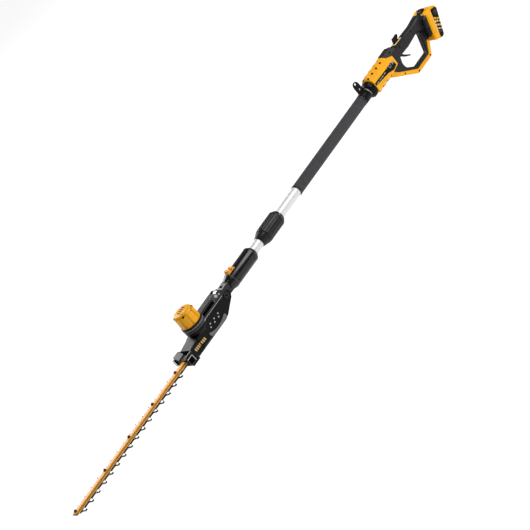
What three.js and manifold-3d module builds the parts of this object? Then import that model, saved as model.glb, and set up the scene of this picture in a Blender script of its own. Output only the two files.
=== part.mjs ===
// Cordless pole hedge trimmer with a tilting head, two counter-moving blades, a two-part pole
// and a slide-on battery. Millimetres, +Z up.
//
// Everything is laid out in the tool's own stations: X runs along the pole from the blade tip (0)
// to the battery, Z is the height over the pole's axis, and Y = 0 is the tool's middle plane.
// The last lines move the whole tool so that its origin is the middle of its box, at the floor.

import * as THREE from "three";
import { mergeVertices } from "three/addons/utils/BufferGeometryUtils.js";
import Module from "manifold-3d";

const wasm = await Module();
wasm.setup();

// ---- driving dimensions -------------------------------------------------------------------

const GAP = 0.3; // clearance between pieces that touch
const MID_X = 1041.6; // station that becomes X = 0
const FLOOR_Z = -104; // height of the loop guard's underside, which becomes Z = 0

const TUBE_R = 16; // aluminium pole
const TUBE_WALL = 1.6;

const BLADE_Z = -37; // plane between the two blades
const BLADE_THICK = 2.2;
const BACK_HALF = 14; // half width of the blade's solid back
const TOOTH_REACH = 31; // middle of the blade to a tooth's end
const TOOTH_PITCH = 33.3;
const FIRST_TOOTH = 26;
const BLADE_STROKE = 8; // travel of one blade either way
const BOLT_STATIONS = [10, 160, 284, 408, 530];

const PIVOT_X = 811; // head hinge
const CHEEK_HALF = 28; // half width of the head
const TONGUE_HALF = 15; // half width of the neck between the cheeks
const TONGUE_R = 16;

const MOTOR_X = 681; // vertical motor axis
const CAP_R = 35;
const CAP_TOP = 77;
const MODULE = 1.2; // gear tooth size
const PINION_TEETH = 9;
const GEAR_TEETH = 36;
const CRANK_X = MOTOR_X - MODULE * (PINION_TEETH + GEAR_TEETH) / 2;
const ECCENTRIC_R = 8.5;

const CONNECTOR_R = 25.7;
const CONNECTOR_FROM = 850;
const CONNECTOR_TO = 991;
const COLLAR_R = 27.5;

const HOUSING_HALF = 27; // yellow front housing
const GRIP_HALF = 17; // rear grip
const LOOP_HALF = 10; // loop guard
const HANDLE_Z = 6; // the housing's own centre line

const BATTERY_TILT = THREE.MathUtils.degToRad(21);
const BATTERY_HALF = 37.5;
const MOUNT_X = 2014; // a point on the battery's mounting face
const MOUNT_Z = -25;

// ---- materials ----------------------------------------------------------------------------

const look = (color, roughness, metalness) => {
  return new THREE.MeshStandardMaterial({ color, roughness, metalness });
};
const YELLOW = look(0xf5a81c, 0.45, 0);
const BLACK = look(0x202124, 0.55, 0);
const GREY = look(0x8a8d90, 0.5, 0.2);
const ORANGE = look(0xe2761b, 0.45, 0);
const FOAM = look(0x2b2c2e, 0.95, 0);
const GLOSS = look(0x17181a, 0.2, 0);
const ALUMINIUM = look(0xd6d8da, 0.35, 0.9);
const STEEL = look(0xb7babd, 0.35, 1);
const GOLD = look(0xe8962a, 0.35, 0.6);
const COPPER = look(0xa5602c, 0.4, 0.9);
const CELL = look(0x4d7f8f, 0.5, 0.1);
const BOARD = look(0x1f6b45, 0.5, 0);

// ---- solids -------------------------------------------------------------------------------

// A closed three.js geometry as a solid that can be joined and cut.
function solid(geometry) {
  const bare = geometry.index ? geometry.toNonIndexed() : geometry.clone();
  bare.deleteAttribute("normal");
  bare.deleteAttribute("uv");
  const merged = mergeVertices(bare, 1e-4);
  const mesh = new wasm.Mesh({
    numProp: 3,
    vertProperties: new Float32Array(merged.attributes.position.array),
    triVerts: new Uint32Array(merged.index.array),
  });
  return new wasm.Manifold(mesh);
}

// A solid as one named mesh of the model.
function piece(name, body, material) {
  const mesh = body.getMesh();
  const geometry = new THREE.BufferGeometry();
  geometry.setAttribute("position", new THREE.BufferAttribute(mesh.vertProperties, 3));
  geometry.setIndex(new THREE.BufferAttribute(mesh.triVerts, 1));
  geometry.computeVertexNormals();
  const result = new THREE.Mesh(geometry, material);
  result.name = name;
  return result;
}

const join = (first, ...others) => others.reduce((sum, next) => sum.add(next), first);
const cut = (first, ...others) => others.reduce((rest, next) => rest.subtract(next), first);

function box(x0, x1, y0, y1, z0, z1) {
  const geometry = new THREE.BoxGeometry(x1 - x0, y1 - y0, z1 - z0);
  geometry.translate((x0 + x1) / 2, (y0 + y1) / 2, (z0 + z1) / 2);
  return solid(geometry);
}

// A flat outline from corner points. A third number rounds that corner.
function outline(corners, Kind = THREE.Shape) {
  const shape = new Kind();
  corners.forEach(([x, y, round = 0], index) => {
    const before = corners.at(index - 1);
    const after = corners[(index + 1) % corners.length];
    const here = new THREE.Vector2(x, y);
    const start = here.clone().add(towards(here, before).multiplyScalar(round));
    const end = here.clone().add(towards(here, after).multiplyScalar(round));
    if (index === 0) shape.moveTo(start.x, start.y);
    else shape.lineTo(start.x, start.y);
    if (round > 0) shape.quadraticCurveTo(x, y, end.x, end.y);
  });
  return shape;
}

const towards = (from, [x, y]) => new THREE.Vector2(x, y).sub(from).normalize();

function extruded(shape, length, bevel, curveSegments) {
  const geometry = new THREE.ExtrudeGeometry(shape, {
    depth: length - 2 * bevel,
    bevelEnabled: bevel > 0,
    bevelThickness: bevel,
    bevelSize: bevel,
    bevelOffset: -bevel,
    bevelSegments: 1,
    curveSegments,
  });
  geometry.translate(0, 0, bevel);
  return geometry;
}

// An X-Z outline pushed along Y from y0 to y1.
function alongY(corners, y0, y1, { bevel = 0, holes = [], curveSegments = 3 } = {}) {
  const shape = outline(corners);
  shape.holes = holes.map((hole) => outline(hole, THREE.Path));
  const geometry = extruded(shape, y1 - y0, bevel, curveSegments);
  geometry.rotateX(Math.PI / 2);
  geometry.translate(0, y1, 0);
  return solid(geometry);
}

// A Y-Z outline pushed along X from x0 to x1.
function alongX(corners, x0, x1, { bevel = 0, curveSegments = 3 } = {}) {
  const geometry = extruded(outline(corners), x1 - x0, bevel, curveSegments);
  geometry.rotateX(Math.PI / 2);
  geometry.rotateZ(Math.PI / 2);
  geometry.translate(x0, 0, 0);
  return solid(geometry);
}

// An X-Y outline pushed along Z from z0 to z1.
function alongZ(corners, z0, z1, { bevel = 0, holes = [], curveSegments = 3 } = {}) {
  const shape = outline(corners);
  shape.holes = holes.map((hole) => outline(hole, THREE.Path));
  const geometry = extruded(shape, z1 - z0, bevel, curveSegments);
  geometry.translate(0, 0, z0);
  return solid(geometry);
}

// A turned solid about an axis along X, Y or Z: [station, radius] pairs of its outer line.
function turned(axis, stations, { at = [0, 0, 0], segments = 26 } = {}) {
  const first = stations[0][0];
  const last = stations.at(-1)[0];
  const closed = [[first, 0], ...stations, [last, 0]];
  const points = closed.map(([along, radius]) => new THREE.Vector2(radius, along));
  const geometry = new THREE.LatheGeometry(points, segments);
  if (axis === "x") geometry.rotateZ(-Math.PI / 2);
  if (axis === "z") geometry.rotateX(Math.PI / 2);
  geometry.translate(...at);
  return solid(geometry);
}

const rod = (axis, from, to, radius, options) => turned(axis, [[from, radius], [to, radius]], options);

const leftHalf = (body) => body.intersect(box(-50, 2200, -90, -GAP / 2, -200, 200));
const rightHalf = (body) => body.intersect(box(-50, 2200, GAP / 2, 90, -200, 200));

// ---- blades and guide bar -----------------------------------------------------------------

// One side's teeth as outline points, from the blade's tip to its root.
function toothRow(side, firstMiddle, count) {
  const points = [];
  for (let index = 0; index < count; index += 1) {
    const middle = firstMiddle + index * TOOTH_PITCH;
    points.push([middle - 8, side * BACK_HALF]);
    points.push([middle - 4.5, side * TOOTH_REACH]);
    points.push([middle + 2, side * TOOTH_REACH]);
    points.push([middle + 8.5, side * BACK_HALF]);
  }
  return points;
}

const leftTeeth = toothRow(-1, FIRST_TOOTH, 16);
const rightTeeth = toothRow(1, FIRST_TOOTH + TOOTH_PITCH / 2, 15);

const SLOT_REACH = BLADE_STROKE + 3.2;

function bladeSlots(z0, z1) {
  return BOLT_STATIONS.slice(1).map((station) =>
    box(station - SLOT_REACH, station + SLOT_REACH, -3.2, 3.2, z0, z1));
}

const YOKE_HALF_X = ECCENTRIC_R + 2 * BLADE_STROKE + 2;
const YOKE_HALF_Y = ECCENTRIC_R + BLADE_STROKE + 1;
const TANG_HALF = YOKE_HALF_Y + 3.5;
const TANG_FRONT = CRANK_X - YOKE_HALF_X - 5;
const TANG_REAR = CRANK_X + YOKE_HALF_X + 4;

function blade(z0) {
  const back = 575;
  const plate = alongZ([
    [12, -BACK_HALF + 4],
    ...leftTeeth,
    [back, -BACK_HALF],
    [TANG_FRONT, -TANG_HALF],
    [TANG_REAR, -TANG_HALF],
    [TANG_REAR, TANG_HALF],
    [TANG_FRONT, TANG_HALF],
    [back, BACK_HALF],
    ...rightTeeth.toReversed(),
    [12, BACK_HALF - 4],
  ], z0, z0 + BLADE_THICK);
  const yoke = box(CRANK_X - YOKE_HALF_X, CRANK_X + YOKE_HALF_X, -YOKE_HALF_Y, YOKE_HALF_Y, z0 - 1, z0 + 4);
  return cut(plate, yoke, ...bladeSlots(z0 - 1, z0 + 4));
}

const UPPER_BLADE_Z = BLADE_Z + GAP / 2;
const LOWER_BLADE_Z = BLADE_Z - GAP / 2 - BLADE_THICK;
const BAR_Z = UPPER_BLADE_Z + BLADE_THICK + GAP;

function guideBar() {
  const flange = 2;
  const rib = 7;
  const bar = alongX([
    [-BACK_HALF, BAR_Z],
    [BACK_HALF, BAR_Z],
    [BACK_HALF, BAR_Z + flange],
    [9, BAR_Z + flange],
    [7, BAR_Z + rib],
    [-7, BAR_Z + rib],
    [-9, BAR_Z + flange],
    [-BACK_HALF, BAR_Z + flange],
  ], 2, 612);
  const hollow = alongX([
    [-6.5, BAR_Z - 1],
    [6.5, BAR_Z - 1],
    [5, BAR_Z + rib - 2],
    [-5, BAR_Z + rib - 2],
  ], 20, 600);
  const seats = BOLT_STATIONS.map((station) => {
    return rod("z", BAR_Z - 2, BAR_Z + 12, 3.4, { at: [station, 0, 0], segments: 12 });
  });
  return cut(bar, hollow, ...seats);
}

const BOLT_SEAT = BAR_Z + 7 + GAP;
const BOLT_HEAD = [
  [BOLT_SEAT, 2.9], [BOLT_SEAT, 5], [BOLT_SEAT + 3.5, 5], [BOLT_SEAT + 3.5, 2.6], [BOLT_SEAT + 5.5, 2.6],
];

// The bar's front bolt ends inside the bar, clear of the moving blades.
const tipBolt = (station) => {
  return turned("z", [[BAR_Z + 0.5, 2.9], ...BOLT_HEAD], { at: [station, 0, 0], segments: 12 });
};

// A shoulder bolt with its nut: it holds the bar and both blades together.
function barBolt(station) {
  const under = LOWER_BLADE_Z - GAP;
  return turned("z", [
    [under - 1.6, 6],
    [under, 6],
    [under, 2.9],
    ...BOLT_HEAD,
  ], { at: [station, 0, 0], segments: 12 });
}

// ---- head ---------------------------------------------------------------------------------

const HEAD_FLOOR = -49;
const RIDGE_Z = 27;
const SEAT_R = 37.5; // round base under the motor cap
const NECK_FRONT = 601;
const SLOT_FROM = PIVOT_X - TONGUE_R - 1.2;

const HEAD_SECTION = [
  [-CHEEK_HALF + 5, HEAD_FLOOR],
  [CHEEK_HALF - 5, HEAD_FLOOR],
  [CHEEK_HALF, HEAD_FLOOR + 7],
  [CHEEK_HALF, 10],
  [15, RIDGE_Z],
  [-15, RIDGE_Z],
  [-CHEEK_HALF, 10],
  [-CHEEK_HALF, HEAD_FLOOR + 7],
];

// The head's cast body: motor seat, ridge, belly and the two cheeks of the hinge.
function headBody() {
  const side = alongY([
    [NECK_FRONT, HEAD_FLOOR],
    [762, HEAD_FLOOR, 6],
    [822, -17, 3],
    [PIVOT_X + 20, -6, 5],
    [PIVOT_X + 20, 6, 5],
    [808, RIDGE_Z, 3],
    [692, RIDGE_Z],
    [692, 2],
    [650, -5],
    [NECK_FRONT, -12],
  ], -CHEEK_HALF, CHEEK_HALF);
  const body = side.intersect(alongX(HEAD_SECTION, 600, 840));
  const neckSides = join(
    box(600, 642, -40, -25, -60, 40),
    box(600, 642, 25, 40, -60, 40),
  );
  const seat = turned("z", [[-12, 30], [2, SEAT_R], [28.7, SEAT_R]], { at: [MOTOR_X, 0, 0], segments: 30 });
  const tongueRoom = join(
    box(SLOT_FROM, 860, -TONGUE_HALF - 0.4, TONGUE_HALF + 0.4, -60, 60),
    rod("y", -TONGUE_HALF - 0.4, TONGUE_HALF + 0.4, TONGUE_R + 1, { at: [PIVOT_X, 0, 0], segments: 22 }),
  );
  const pinHole = rod("y", -40, 40, 6 + GAP, { at: [PIVOT_X, 0, 0], segments: 18 });
  const wheelRoom = rod("y", -DETENT_HALF - GAP, DETENT_HALF + GAP, DETENT_R + GAP, {
    at: [PIVOT_X, 0, 0], segments: 26,
  });
  return cut(join(body.subtract(neckSides), seat), tongueRoom, pinHole, wheelRoom, headCavity());
}

const GEAR_ROOM_HALF = 23.4;

function headCavity() {
  const motorWell = rod("z", 3, 40, 33.5, { at: [MOTOR_X, 0, 0], segments: 26 });
  const gearWell = rod("z", -34, -16, GEAR_ROOM_HALF, { at: [CRANK_X, 0, 0], segments: 26 });
  const pinionWell = rod("z", -34, 5, 8, { at: [MOTOR_X, 0, 0], segments: 18 });
  const bladeRoom = box(590, TANG_REAR + BLADE_STROKE + 2, -22, 22, LOWER_BLADE_Z - 1.2, BAR_Z + 0.4);
  const barRoom = box(590, 613, -BACK_HALF - 1, BACK_HALF + 1, LOWER_BLADE_Z - 2, BAR_Z + 8);
  const cableRoom = box(700, 786, -9, 9, -8, 14);
  return join(motorWell, gearWell, pinionWell, bladeRoom, barRoom, cableRoom);
}

// Round vents low on each cheek, and a long recess on each sloping shoulder of the ridge.
function headVents() {
  const cuts = [];
  for (const side of [-1, 1]) {
    const recess = [[21.6, 21.7], [24.6, 17.7], [22.1, 15.8], [19, 19.8]].map(([y, z]) => [side * y, z]);
    cuts.push(alongX(side < 0 ? recess.reverse() : recess, 722, 770));
    for (let index = 0; index < 3; index += 1) {
      const x = 703 + index * 21;
      cuts.push(rod("y", -1.5, 1.5, 3, { at: [x, side * CHEEK_HALF, -21.5], segments: 12 }));
      cuts.push(rod("y", -1.5, 1.5, 3, { at: [x + 6, side * CHEEK_HALF, -12.5], segments: 12 }));
    }
  }
  return cuts;
}

// Lens-shaped ledge standing out of each cheek under the vents.
function cheekLedge(side) {
  const y0 = side < 0 ? -CHEEK_HALF - 3 : CHEEK_HALF + GAP;
  const y1 = side < 0 ? -CHEEK_HALF - GAP : CHEEK_HALF + 3;
  return alongY([
    [681, -30],
    [685, -27],
    [697, -32.5],
    [708, -35.5],
    [720, -37],
    [732, -36.5],
    [744, -34.5],
    [756, -30.5],
    [764, -28],
    [768, -34],
    [764, -43, 3],
    [690, -43, 3],
    [684, -39],
  ], y0, y1, { bevel: 1 });
}

const GUARD_HALF = 38;

function frontGuard() {
  const low = -48;
  const top = -10;
  const block = alongY([
    [560, low],
    [606, low],
    [606, top - 6],
    [598, top],
    [582, top],
    [556, -24],
  ], -GUARD_HALF, GUARD_HALF, { bevel: 3 });
  const trough = alongX([[-40, 2], [40, 2], [34.5, -9], [12, -23], [-12, -23], [-34.5, -9]], 540, 620);
  const waist = join(
    box(600 + GAP, 640, -25 - GAP, 25 + GAP, -60, 0),
    alongZ([[540, -60], [563, -60], [574, -30], [574, 30], [563, 60], [540, 60]], -60, 0),
  );
  const bladeWay = box(540, 620, -TANG_HALF - 2, TANG_HALF + 2, LOWER_BLADE_Z - 2.4, BAR_Z + 0.3);
  const barWay = join(
    box(540, 620, -BACK_HALF - GAP, BACK_HALF + GAP, BAR_Z - 1, BAR_Z + 2 + GAP),
    box(540, 620, -9 - GAP, 9 + GAP, BAR_Z - 1, BAR_Z + 7 + GAP),
  );
  const panels = join(
    box(568, 590, -50, 1.5 - GUARD_HALF, -40, -16),
    box(568, 590, GUARD_HALF - 1.5, 50, -40, -16),
  );
  return cut(block, trough, waist, bladeWay, barWay, panels);
}

function headBottomPlate() {
  const low = HEAD_FLOOR - 2;
  const high = HEAD_FLOOR - GAP;
  return alongY([[700, low], [740, low], [740, high], [700, high]], -16, 16);
}

function motorCap() {
  const low = 29;
  const shell = turned("z", [
    [low, CAP_R],
    [CAP_TOP - 10, CAP_R - 1],
    [CAP_TOP - 3, CAP_R - 6],
    [CAP_TOP, CAP_R - 14],
  ], { at: [MOTOR_X, 0, 0], segments: 18 });
  const flats = [];
  for (let index = 0; index < 8; index += 1) {
    const angle = (index + 0.5) * Math.PI / 4;
    const scoop = new THREE.CylinderGeometry(4, 4, 60, 12);
    scoop.rotateX(Math.PI / 2);
    scoop.translate(MOTOR_X + (CAP_R + 1.6) * Math.cos(angle), (CAP_R + 1.6) * Math.sin(angle), 60);
    flats.push(solid(scoop));
  }
  const hollow = rod("z", low - 1, CAP_TOP - 7, 31.5, { at: [MOTOR_X, 0, 0], segments: 22 });
  const vents = [-12, -4, 4, 12].map((offset) =>
    box(MOTOR_X + offset - 1.6, MOTOR_X + offset + 1.6, -17, 17, 60, 90));
  return cut(shell, hollow, ...flats, ...vents);
}

// A spur gear outline with straight-sided teeth.
function gear(teeth, z0, z1, centreX, turn) {
  const pitch = MODULE * teeth / 2;
  const angleStep = 2 * Math.PI / teeth;
  const points = [];
  for (let index = 0; index < teeth; index += 1) {
    const middle = index * angleStep + turn;
    for (const [share, radius] of [
      [-0.31, pitch - 1.2 * MODULE],
      [-0.1, pitch + 0.8 * MODULE],
      [0.1, pitch + 0.8 * MODULE],
      [0.31, pitch - 1.2 * MODULE],
    ]) {
      const angle = middle + share * angleStep;
      points.push([centreX + radius * Math.cos(angle), radius * Math.sin(angle)]);
    }
  }
  return alongZ(points, z0, z1);
}

const GEAR_LOW = -29;
const GEAR_TOP = -22;

function motorRotor() {
  const shaft = rod("z", GEAR_LOW - 1, 60, 2.5, { at: [MOTOR_X, 0, 0], segments: 12 });
  const core = rod("z", 6, 34, 14.5, { at: [MOTOR_X, 0, 0], segments: 18 });
  const pinion = gear(PINION_TEETH, GEAR_LOW, GEAR_TOP, MOTOR_X, Math.PI * (1 - 1 / PINION_TEETH));
  const hub = rod("z", 42, 50, 8, { at: [MOTOR_X, 0, 0], segments: 12 });
  const vanes = [];
  for (let index = 0; index < 6; index += 1) {
    const vane = new THREE.BoxGeometry(17, 2, 7);
    vane.translate(14, 0, 46.5);
    vane.rotateZ(index * Math.PI / 3);
    vane.translate(MOTOR_X, 0, 0);
    vanes.push(solid(vane));
  }
  return join(shaft, core, pinion, hub, ...vanes);
}

function motorStator() {
  const outer = rod("z", 4, 38, 31, { at: [MOTOR_X, 0, 0], segments: 22 });
  const bore = rod("z", 0, 42, 15.5, { at: [MOTOR_X, 0, 0], segments: 22 });
  return outer.subtract(bore);
}

// The crank gear with its two eccentric discs, half a turn apart, one for each blade.
function crankGear() {
  const disc = gear(GEAR_TEETH, GEAR_LOW, GEAR_TOP, CRANK_X, 0);
  const axle = rod("z", LOWER_BLADE_Z - 1, GEAR_TOP + 3, 4, { at: [CRANK_X, 0, 0], segments: 14 });
  const upper = rod("z", UPPER_BLADE_Z + 0.1, GEAR_LOW + 1, ECCENTRIC_R, {
    at: [CRANK_X, BLADE_STROKE, 0], segments: 18,
  });
  const lower = rod("z", LOWER_BLADE_Z + 0.1, UPPER_BLADE_Z - 0.1, ECCENTRIC_R, {
    at: [CRANK_X, -BLADE_STROKE, 0], segments: 18,
  });
  const link = rod("z", LOWER_BLADE_Z + 0.5, GEAR_LOW + 1, 9, { at: [CRANK_X, 0, 0], segments: 18 });
  return join(disc, axle, upper, lower, link);
}

function pivotPin() {
  return turned("y", [
    [-CHEEK_HALF - 2.5, 9],
    [-CHEEK_HALF - GAP, 9],
    [-CHEEK_HALF - GAP, 6],
    [CHEEK_HALF + GAP, 6],
    [CHEEK_HALF + GAP, 9],
    [CHEEK_HALF + 2.5, 9],
  ], { at: [PIVOT_X, 0, 0], segments: 18 });
}

// ---- connector on the front pole ----------------------------------------------------------

const RELEASE_TRAVEL = 6;
const PIVOT_BORE = 6.16; // the pin's corners turn inside the bore's flats
const DETENT_R = 24;
const DETENT_HALF = 7;
const PIN_FROM = PIVOT_X + DETENT_R + 0.6; // front end of the lock pin, just clear of the wheel

function connectorBody() {
  const barrel = turned("x", [
    [CONNECTOR_FROM, 19],
    [871, CONNECTOR_R],
    [983, CONNECTOR_R],
    [CONNECTOR_TO, 20],
  ], { segments: 26 });
  const neck = alongY([
    [PIVOT_X, -TONGUE_R],
    [CONNECTOR_FROM + 8, -TONGUE_R],
    [CONNECTOR_FROM + 8, TONGUE_R],
    [PIVOT_X, TONGUE_R],
  ], -TONGUE_HALF, TONGUE_HALF);
  const eye = rod("y", -TONGUE_HALF, TONGUE_HALF, TONGUE_R, { at: [PIVOT_X, 0, 0], segments: 26 });
  const pinHole = rod("y", -30, 30, PIVOT_BORE, { at: [PIVOT_X, 0, 0], segments: 18 });
  const pole = rod("x", 920, 1000, TUBE_R + GAP);
  const pinWay = rod("x", PIVOT_X + 24, 925, 4.3, { segments: 12 });
  const detentRoom = rod("y", -DETENT_HALF - 0.6, DETENT_HALF + 0.6, 30, {
    at: [PIVOT_X, 0, 0], segments: 26,
  });
  const leverWay = box(874, 906 + RELEASE_TRAVEL + 1, -11.4, 11.4, 18, 40);
  const postWay = box(880, 880 + 16 + RELEASE_TRAVEL + 1, -3.4, 3.4, -5, 40);
  return cut(join(barrel, neck, eye), pinHole, pole, pinWay, detentRoom, leverWay, postWay);
}

// A notched wheel fixed to the head's pin: seven stops, 30 degrees apart.
function detentWheel() {
  const disc = rod("y", -DETENT_HALF, DETENT_HALF, DETENT_R, { at: [PIVOT_X, 0, 0], segments: 30 });
  const bore = rod("y", -10, 10, 6 + GAP, { at: [PIVOT_X, 0, 0], segments: 18 });
  const notches = [];
  for (let index = -3; index <= 3; index += 1) {
    const notch = new THREE.BoxGeometry(6, 20, 8.4);
    notch.translate(DETENT_R - 1, 0, 0);
    notch.rotateY(-index * Math.PI / 6);
    notch.translate(PIVOT_X, 0, 0);
    notches.push(solid(notch));
  }
  return cut(disc, bore, ...notches);
}

function lockPin() {
  return turned("x", [[PIN_FROM, 2.4], [PIN_FROM + 3, 3.9], [905, 3.9]], { segments: 12 });
}

// The orange release slide: two raised thumb lobes and a post down to the lock pin.
function releaseSlide() {
  const base = box(874.4, 906, -11, 11, 20, 25);
  const lobes = [[875, 889, 34], [892, 905, 31]].map(([x0, x1, top]) =>
    alongY([[x0, 24], [x1, 24], [x1 - 2, top, 2], [x0 + 4, top, 2]], -10.5, 10.5, { bevel: 1.5 }));
  const post = box(882, 894, -3, 3, 4.2, 22);
  return join(base, ...lobes, post);
}

// ---- pole and coupling --------------------------------------------------------------------

const JOINT_X = 1098; // where the front pole's ferrule meets the rear pole's flange

function tube(x0, x1) {
  const outer = rod("x", x0, x1, TUBE_R, { segments: 26 });
  const inner = rod("x", x0 - 1, x1 + 1, TUBE_R - TUBE_WALL, { segments: 26 });
  return outer.subtract(inner);
}

function ferrule() {
  const body = turned("x", [
    [1031, 18],
    [1036, 20],
    [1054, 26.5],
    [1056, 26.5],
    [1056, 22],
    [JOINT_X - GAP, 22],
  ], { segments: 26 });
  const ribs = [];
  for (let index = 0; index < 12; index += 1) {
    const groove = new THREE.BoxGeometry(22, 3, 3);
    groove.rotateY(-0.33);
    groove.translate(1043, 0, 24);
    groove.rotateX(index * Math.PI / 6);
    ribs.push(solid(groove));
  }
  const bore = rod("x", 1020, JOINT_X - 8, TUBE_R + GAP, { segments: 26 });
  const throat = rod("x", 1020, JOINT_X + 5, 13, { segments: 22 });
  return cut(body, bore, throat, ...ribs);
}

function rearFlange() {
  const profile = [[JOINT_X, 22], [JOINT_X + 5, 22], [JOINT_X + 5, 19], [JOINT_X + 20, 19]];
  const flange = turned("x", profile, { segments: 26 });
  const bore = rod("x", JOINT_X + 4, JOINT_X + 30, TUBE_R + GAP, { segments: 26 });
  const throat = rod("x", JOINT_X - 5, JOINT_X + 30, 13, { segments: 22 });
  return cut(flange, bore, throat);
}

function collar() {
  const body = turned("x", [
    [1057, 25.5],
    [1060, COLLAR_R],
    [1132, COLLAR_R],
    [1144, 20.5],
  ], { segments: 30 });
  const flutes = [];
  for (let index = 0; index < 12; index += 1) {
    const flute = new THREE.CylinderGeometry(7, 7, 62, 10);
    flute.rotateZ(Math.PI / 2);
    flute.translate(1096, 0, COLLAR_R + 5.6);
    flute.rotateX(index * Math.PI / 6);
    flutes.push(solid(flute));
  }
  const thread = rod("x", 1050, JOINT_X + 24, 22.4, { segments: 26 });
  const neck = rod("x", 1050, 1150, TUBE_R + 0.5, { segments: 26 });
  const ringGroove = rod("x", 1125.6, 1129.4, 20.6, { segments: 22 });
  return cut(body, thread, neck, ringGroove, ...flutes);
}

function thrustRing() {
  const outer = rod("x", 1126, 1129, 20.2, { segments: 22 });
  const inner = rod("x", 1120, 1135, TUBE_R + 0.4, { segments: 26 });
  return outer.subtract(inner);
}

// The electrical joint inside the coupling.
function poleSocket() {
  const body = rod("x", JOINT_X + 6, JOINT_X + 30, 12.4, { segments: 18 });
  const ways = [-5, 5].map((y) => rod("x", JOINT_X, JOINT_X + 22, 2.2, { at: [0, y, 0], segments: 12 }));
  return cut(body, ...ways);
}

function polePlug() {
  const body = rod("x", JOINT_X - 24, JOINT_X + 5, 12.4, { segments: 18 });
  const pins = [-5, 5].map((y) => {
    return rod("x", JOINT_X + 4, JOINT_X + 20, 1.7, { at: [0, y, 0], segments: 12 });
  });
  return join(body, ...pins);
}

const innerCable = (x0, x1) => rod("x", x0, x1, 3.5, { segments: 10 });

function foamGrip() {
  const sleeve = turned("x", [[1253, 17], [1255, 18.4], [1650, 18.4], [1652, 17.4]], { segments: 26 });
  return sleeve.subtract(rod("x", 1240, 1660, TUBE_R + GAP, { segments: 26 }));
}

function hangingBracket() {
  const band = turned("x", [[1653, 18], [1655, 19.5], [1681, 19.5], [1682, 19]], { segments: 26 });
  const plate = alongY([
    [1656, 10],
    [1681, 10],
    [1681, 48, 4],
    [1676, 59, 6],
    [1661, 59, 6],
    [1656, 48, 4],
  ], -2.2, 2.2);
  const bore = rod("x", 1640, 1700, TUBE_R + GAP, { segments: 26 });
  const eyelet = rod("y", -5, 5, 4.3, { at: [1668.5, 0, 52], segments: 14 });
  return cut(join(band, plate), bore, eyelet);
}

function clampNut() {
  const nut = turned("x", [[1687, 22], [1692, 27], [1703, 28.5], [1707, 26.5]], { segments: 12 });
  return nut.subtract(rod("x", 1670, 1720, TUBE_R + GAP, { segments: 26 }));
}

// ---- rear handle --------------------------------------------------------------------------

const HOUSING_SECTION = [
  [-15, -27],
  [15, -27],
  [HOUSING_HALF, -15],
  [HOUSING_HALF, 22],
  [9, 35],
  [-9, 35],
  [-HOUSING_HALF, 22],
  [-HOUSING_HALF, -15],
];

const RIB_PITCH = 25.8;
const RIB_COUNT = 4;

// The yellow front housing with the outer strip of the loop guard.
function frontHousing() {
  const side = alongY([
    [1708, -20],
    [1714, -27],
    [1800, -27],
    [1806, -22],
    [1828.5, -14],
    [1829.5, 19],
    [1811.5, 27],
    [1806.5, 38],
    [1714, 38],
    [1708, 28],
  ], -HOUSING_HALF, HOUSING_HALF);
  const block = side.intersect(alongX(HOUSING_SECTION, 1700, 1840));
  const ribs = [];
  for (let index = 0; index < RIB_COUNT; index += 1) {
    const x = 1712 + index * RIB_PITCH;
    ribs.push(alongY([[x, 31], [x + 17, 31], [x + 14, 37.5], [x + 4, 37.5]], -9, 9, { bevel: 1 }));
    ribs.push(alongY([[x, -24], [x + 4, -30], [x + 14, -30], [x + 17, -24]], -14, 14, { bevel: 1 }));
  }
  const strip = alongY([
    [1783, -24],
    [1788, -34],
    [1884, FLOOR_Z, 3],
    [1966, FLOOR_Z, 3],
    [1992, -72],
    [1998, -62],
    [1991, -56],
    [1983, -63],
    [1962, -91.5],
    [1891, -91.5],
    [1823, -44],
    [1806, -22],
  ], -LOOP_HALF, LOOP_HALF, { bevel: 2 });
  const cavity = join(
    alongX(HOUSING_SECTION.map(([y, z]) => [y * 0.87, HANDLE_Z + (z - HANDLE_Z) * 0.87]), 1714, 1850),
    rod("x", 1700, 1720, TUBE_R + GAP, { segments: 26 }),
  );
  const panelSeats = join(
    alongY(PANEL_OUTLINE, -HOUSING_HALF - 2, -HOUSING_HALF + 1.2),
    alongY(PANEL_OUTLINE, HOUSING_HALF - 1.2, HOUSING_HALF + 2),
  );
  return cut(join(block, ...ribs, strip), cavity, panelSeats);
}

const PANEL_OUTLINE = [
  [1710, 1.5],
  [1777, -6.5],
  [1804, -16],
  [1822, -11],
  [1819, 5],
  [1800, 10.5],
  [1782, 8.5],
  [1710, 10.5],
];

function sidePanel(side) {
  const inset = PANEL_OUTLINE.map(([x, z]) => [1766 + (x - 1766) * 0.985, 5 + (z - 5) * 0.95]);
  return side < 0
    ? alongY(inset, -HOUSING_HALF - 0.6, -HOUSING_HALF + 1.2 - GAP)
    : alongY(inset, HOUSING_HALF - 1.2 + GAP, HOUSING_HALF + 0.6);
}

const LOOP_WINDOW = [
  [1866, -14, 8],
  [1915, -17, 8],
  [1974, -10, 8],
  [1982, -22, 5],
  [1960, -82, 5],
  [1893, -82, 5],
  [1859, -56, 6],
  [1856, -38, 5],
];

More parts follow.
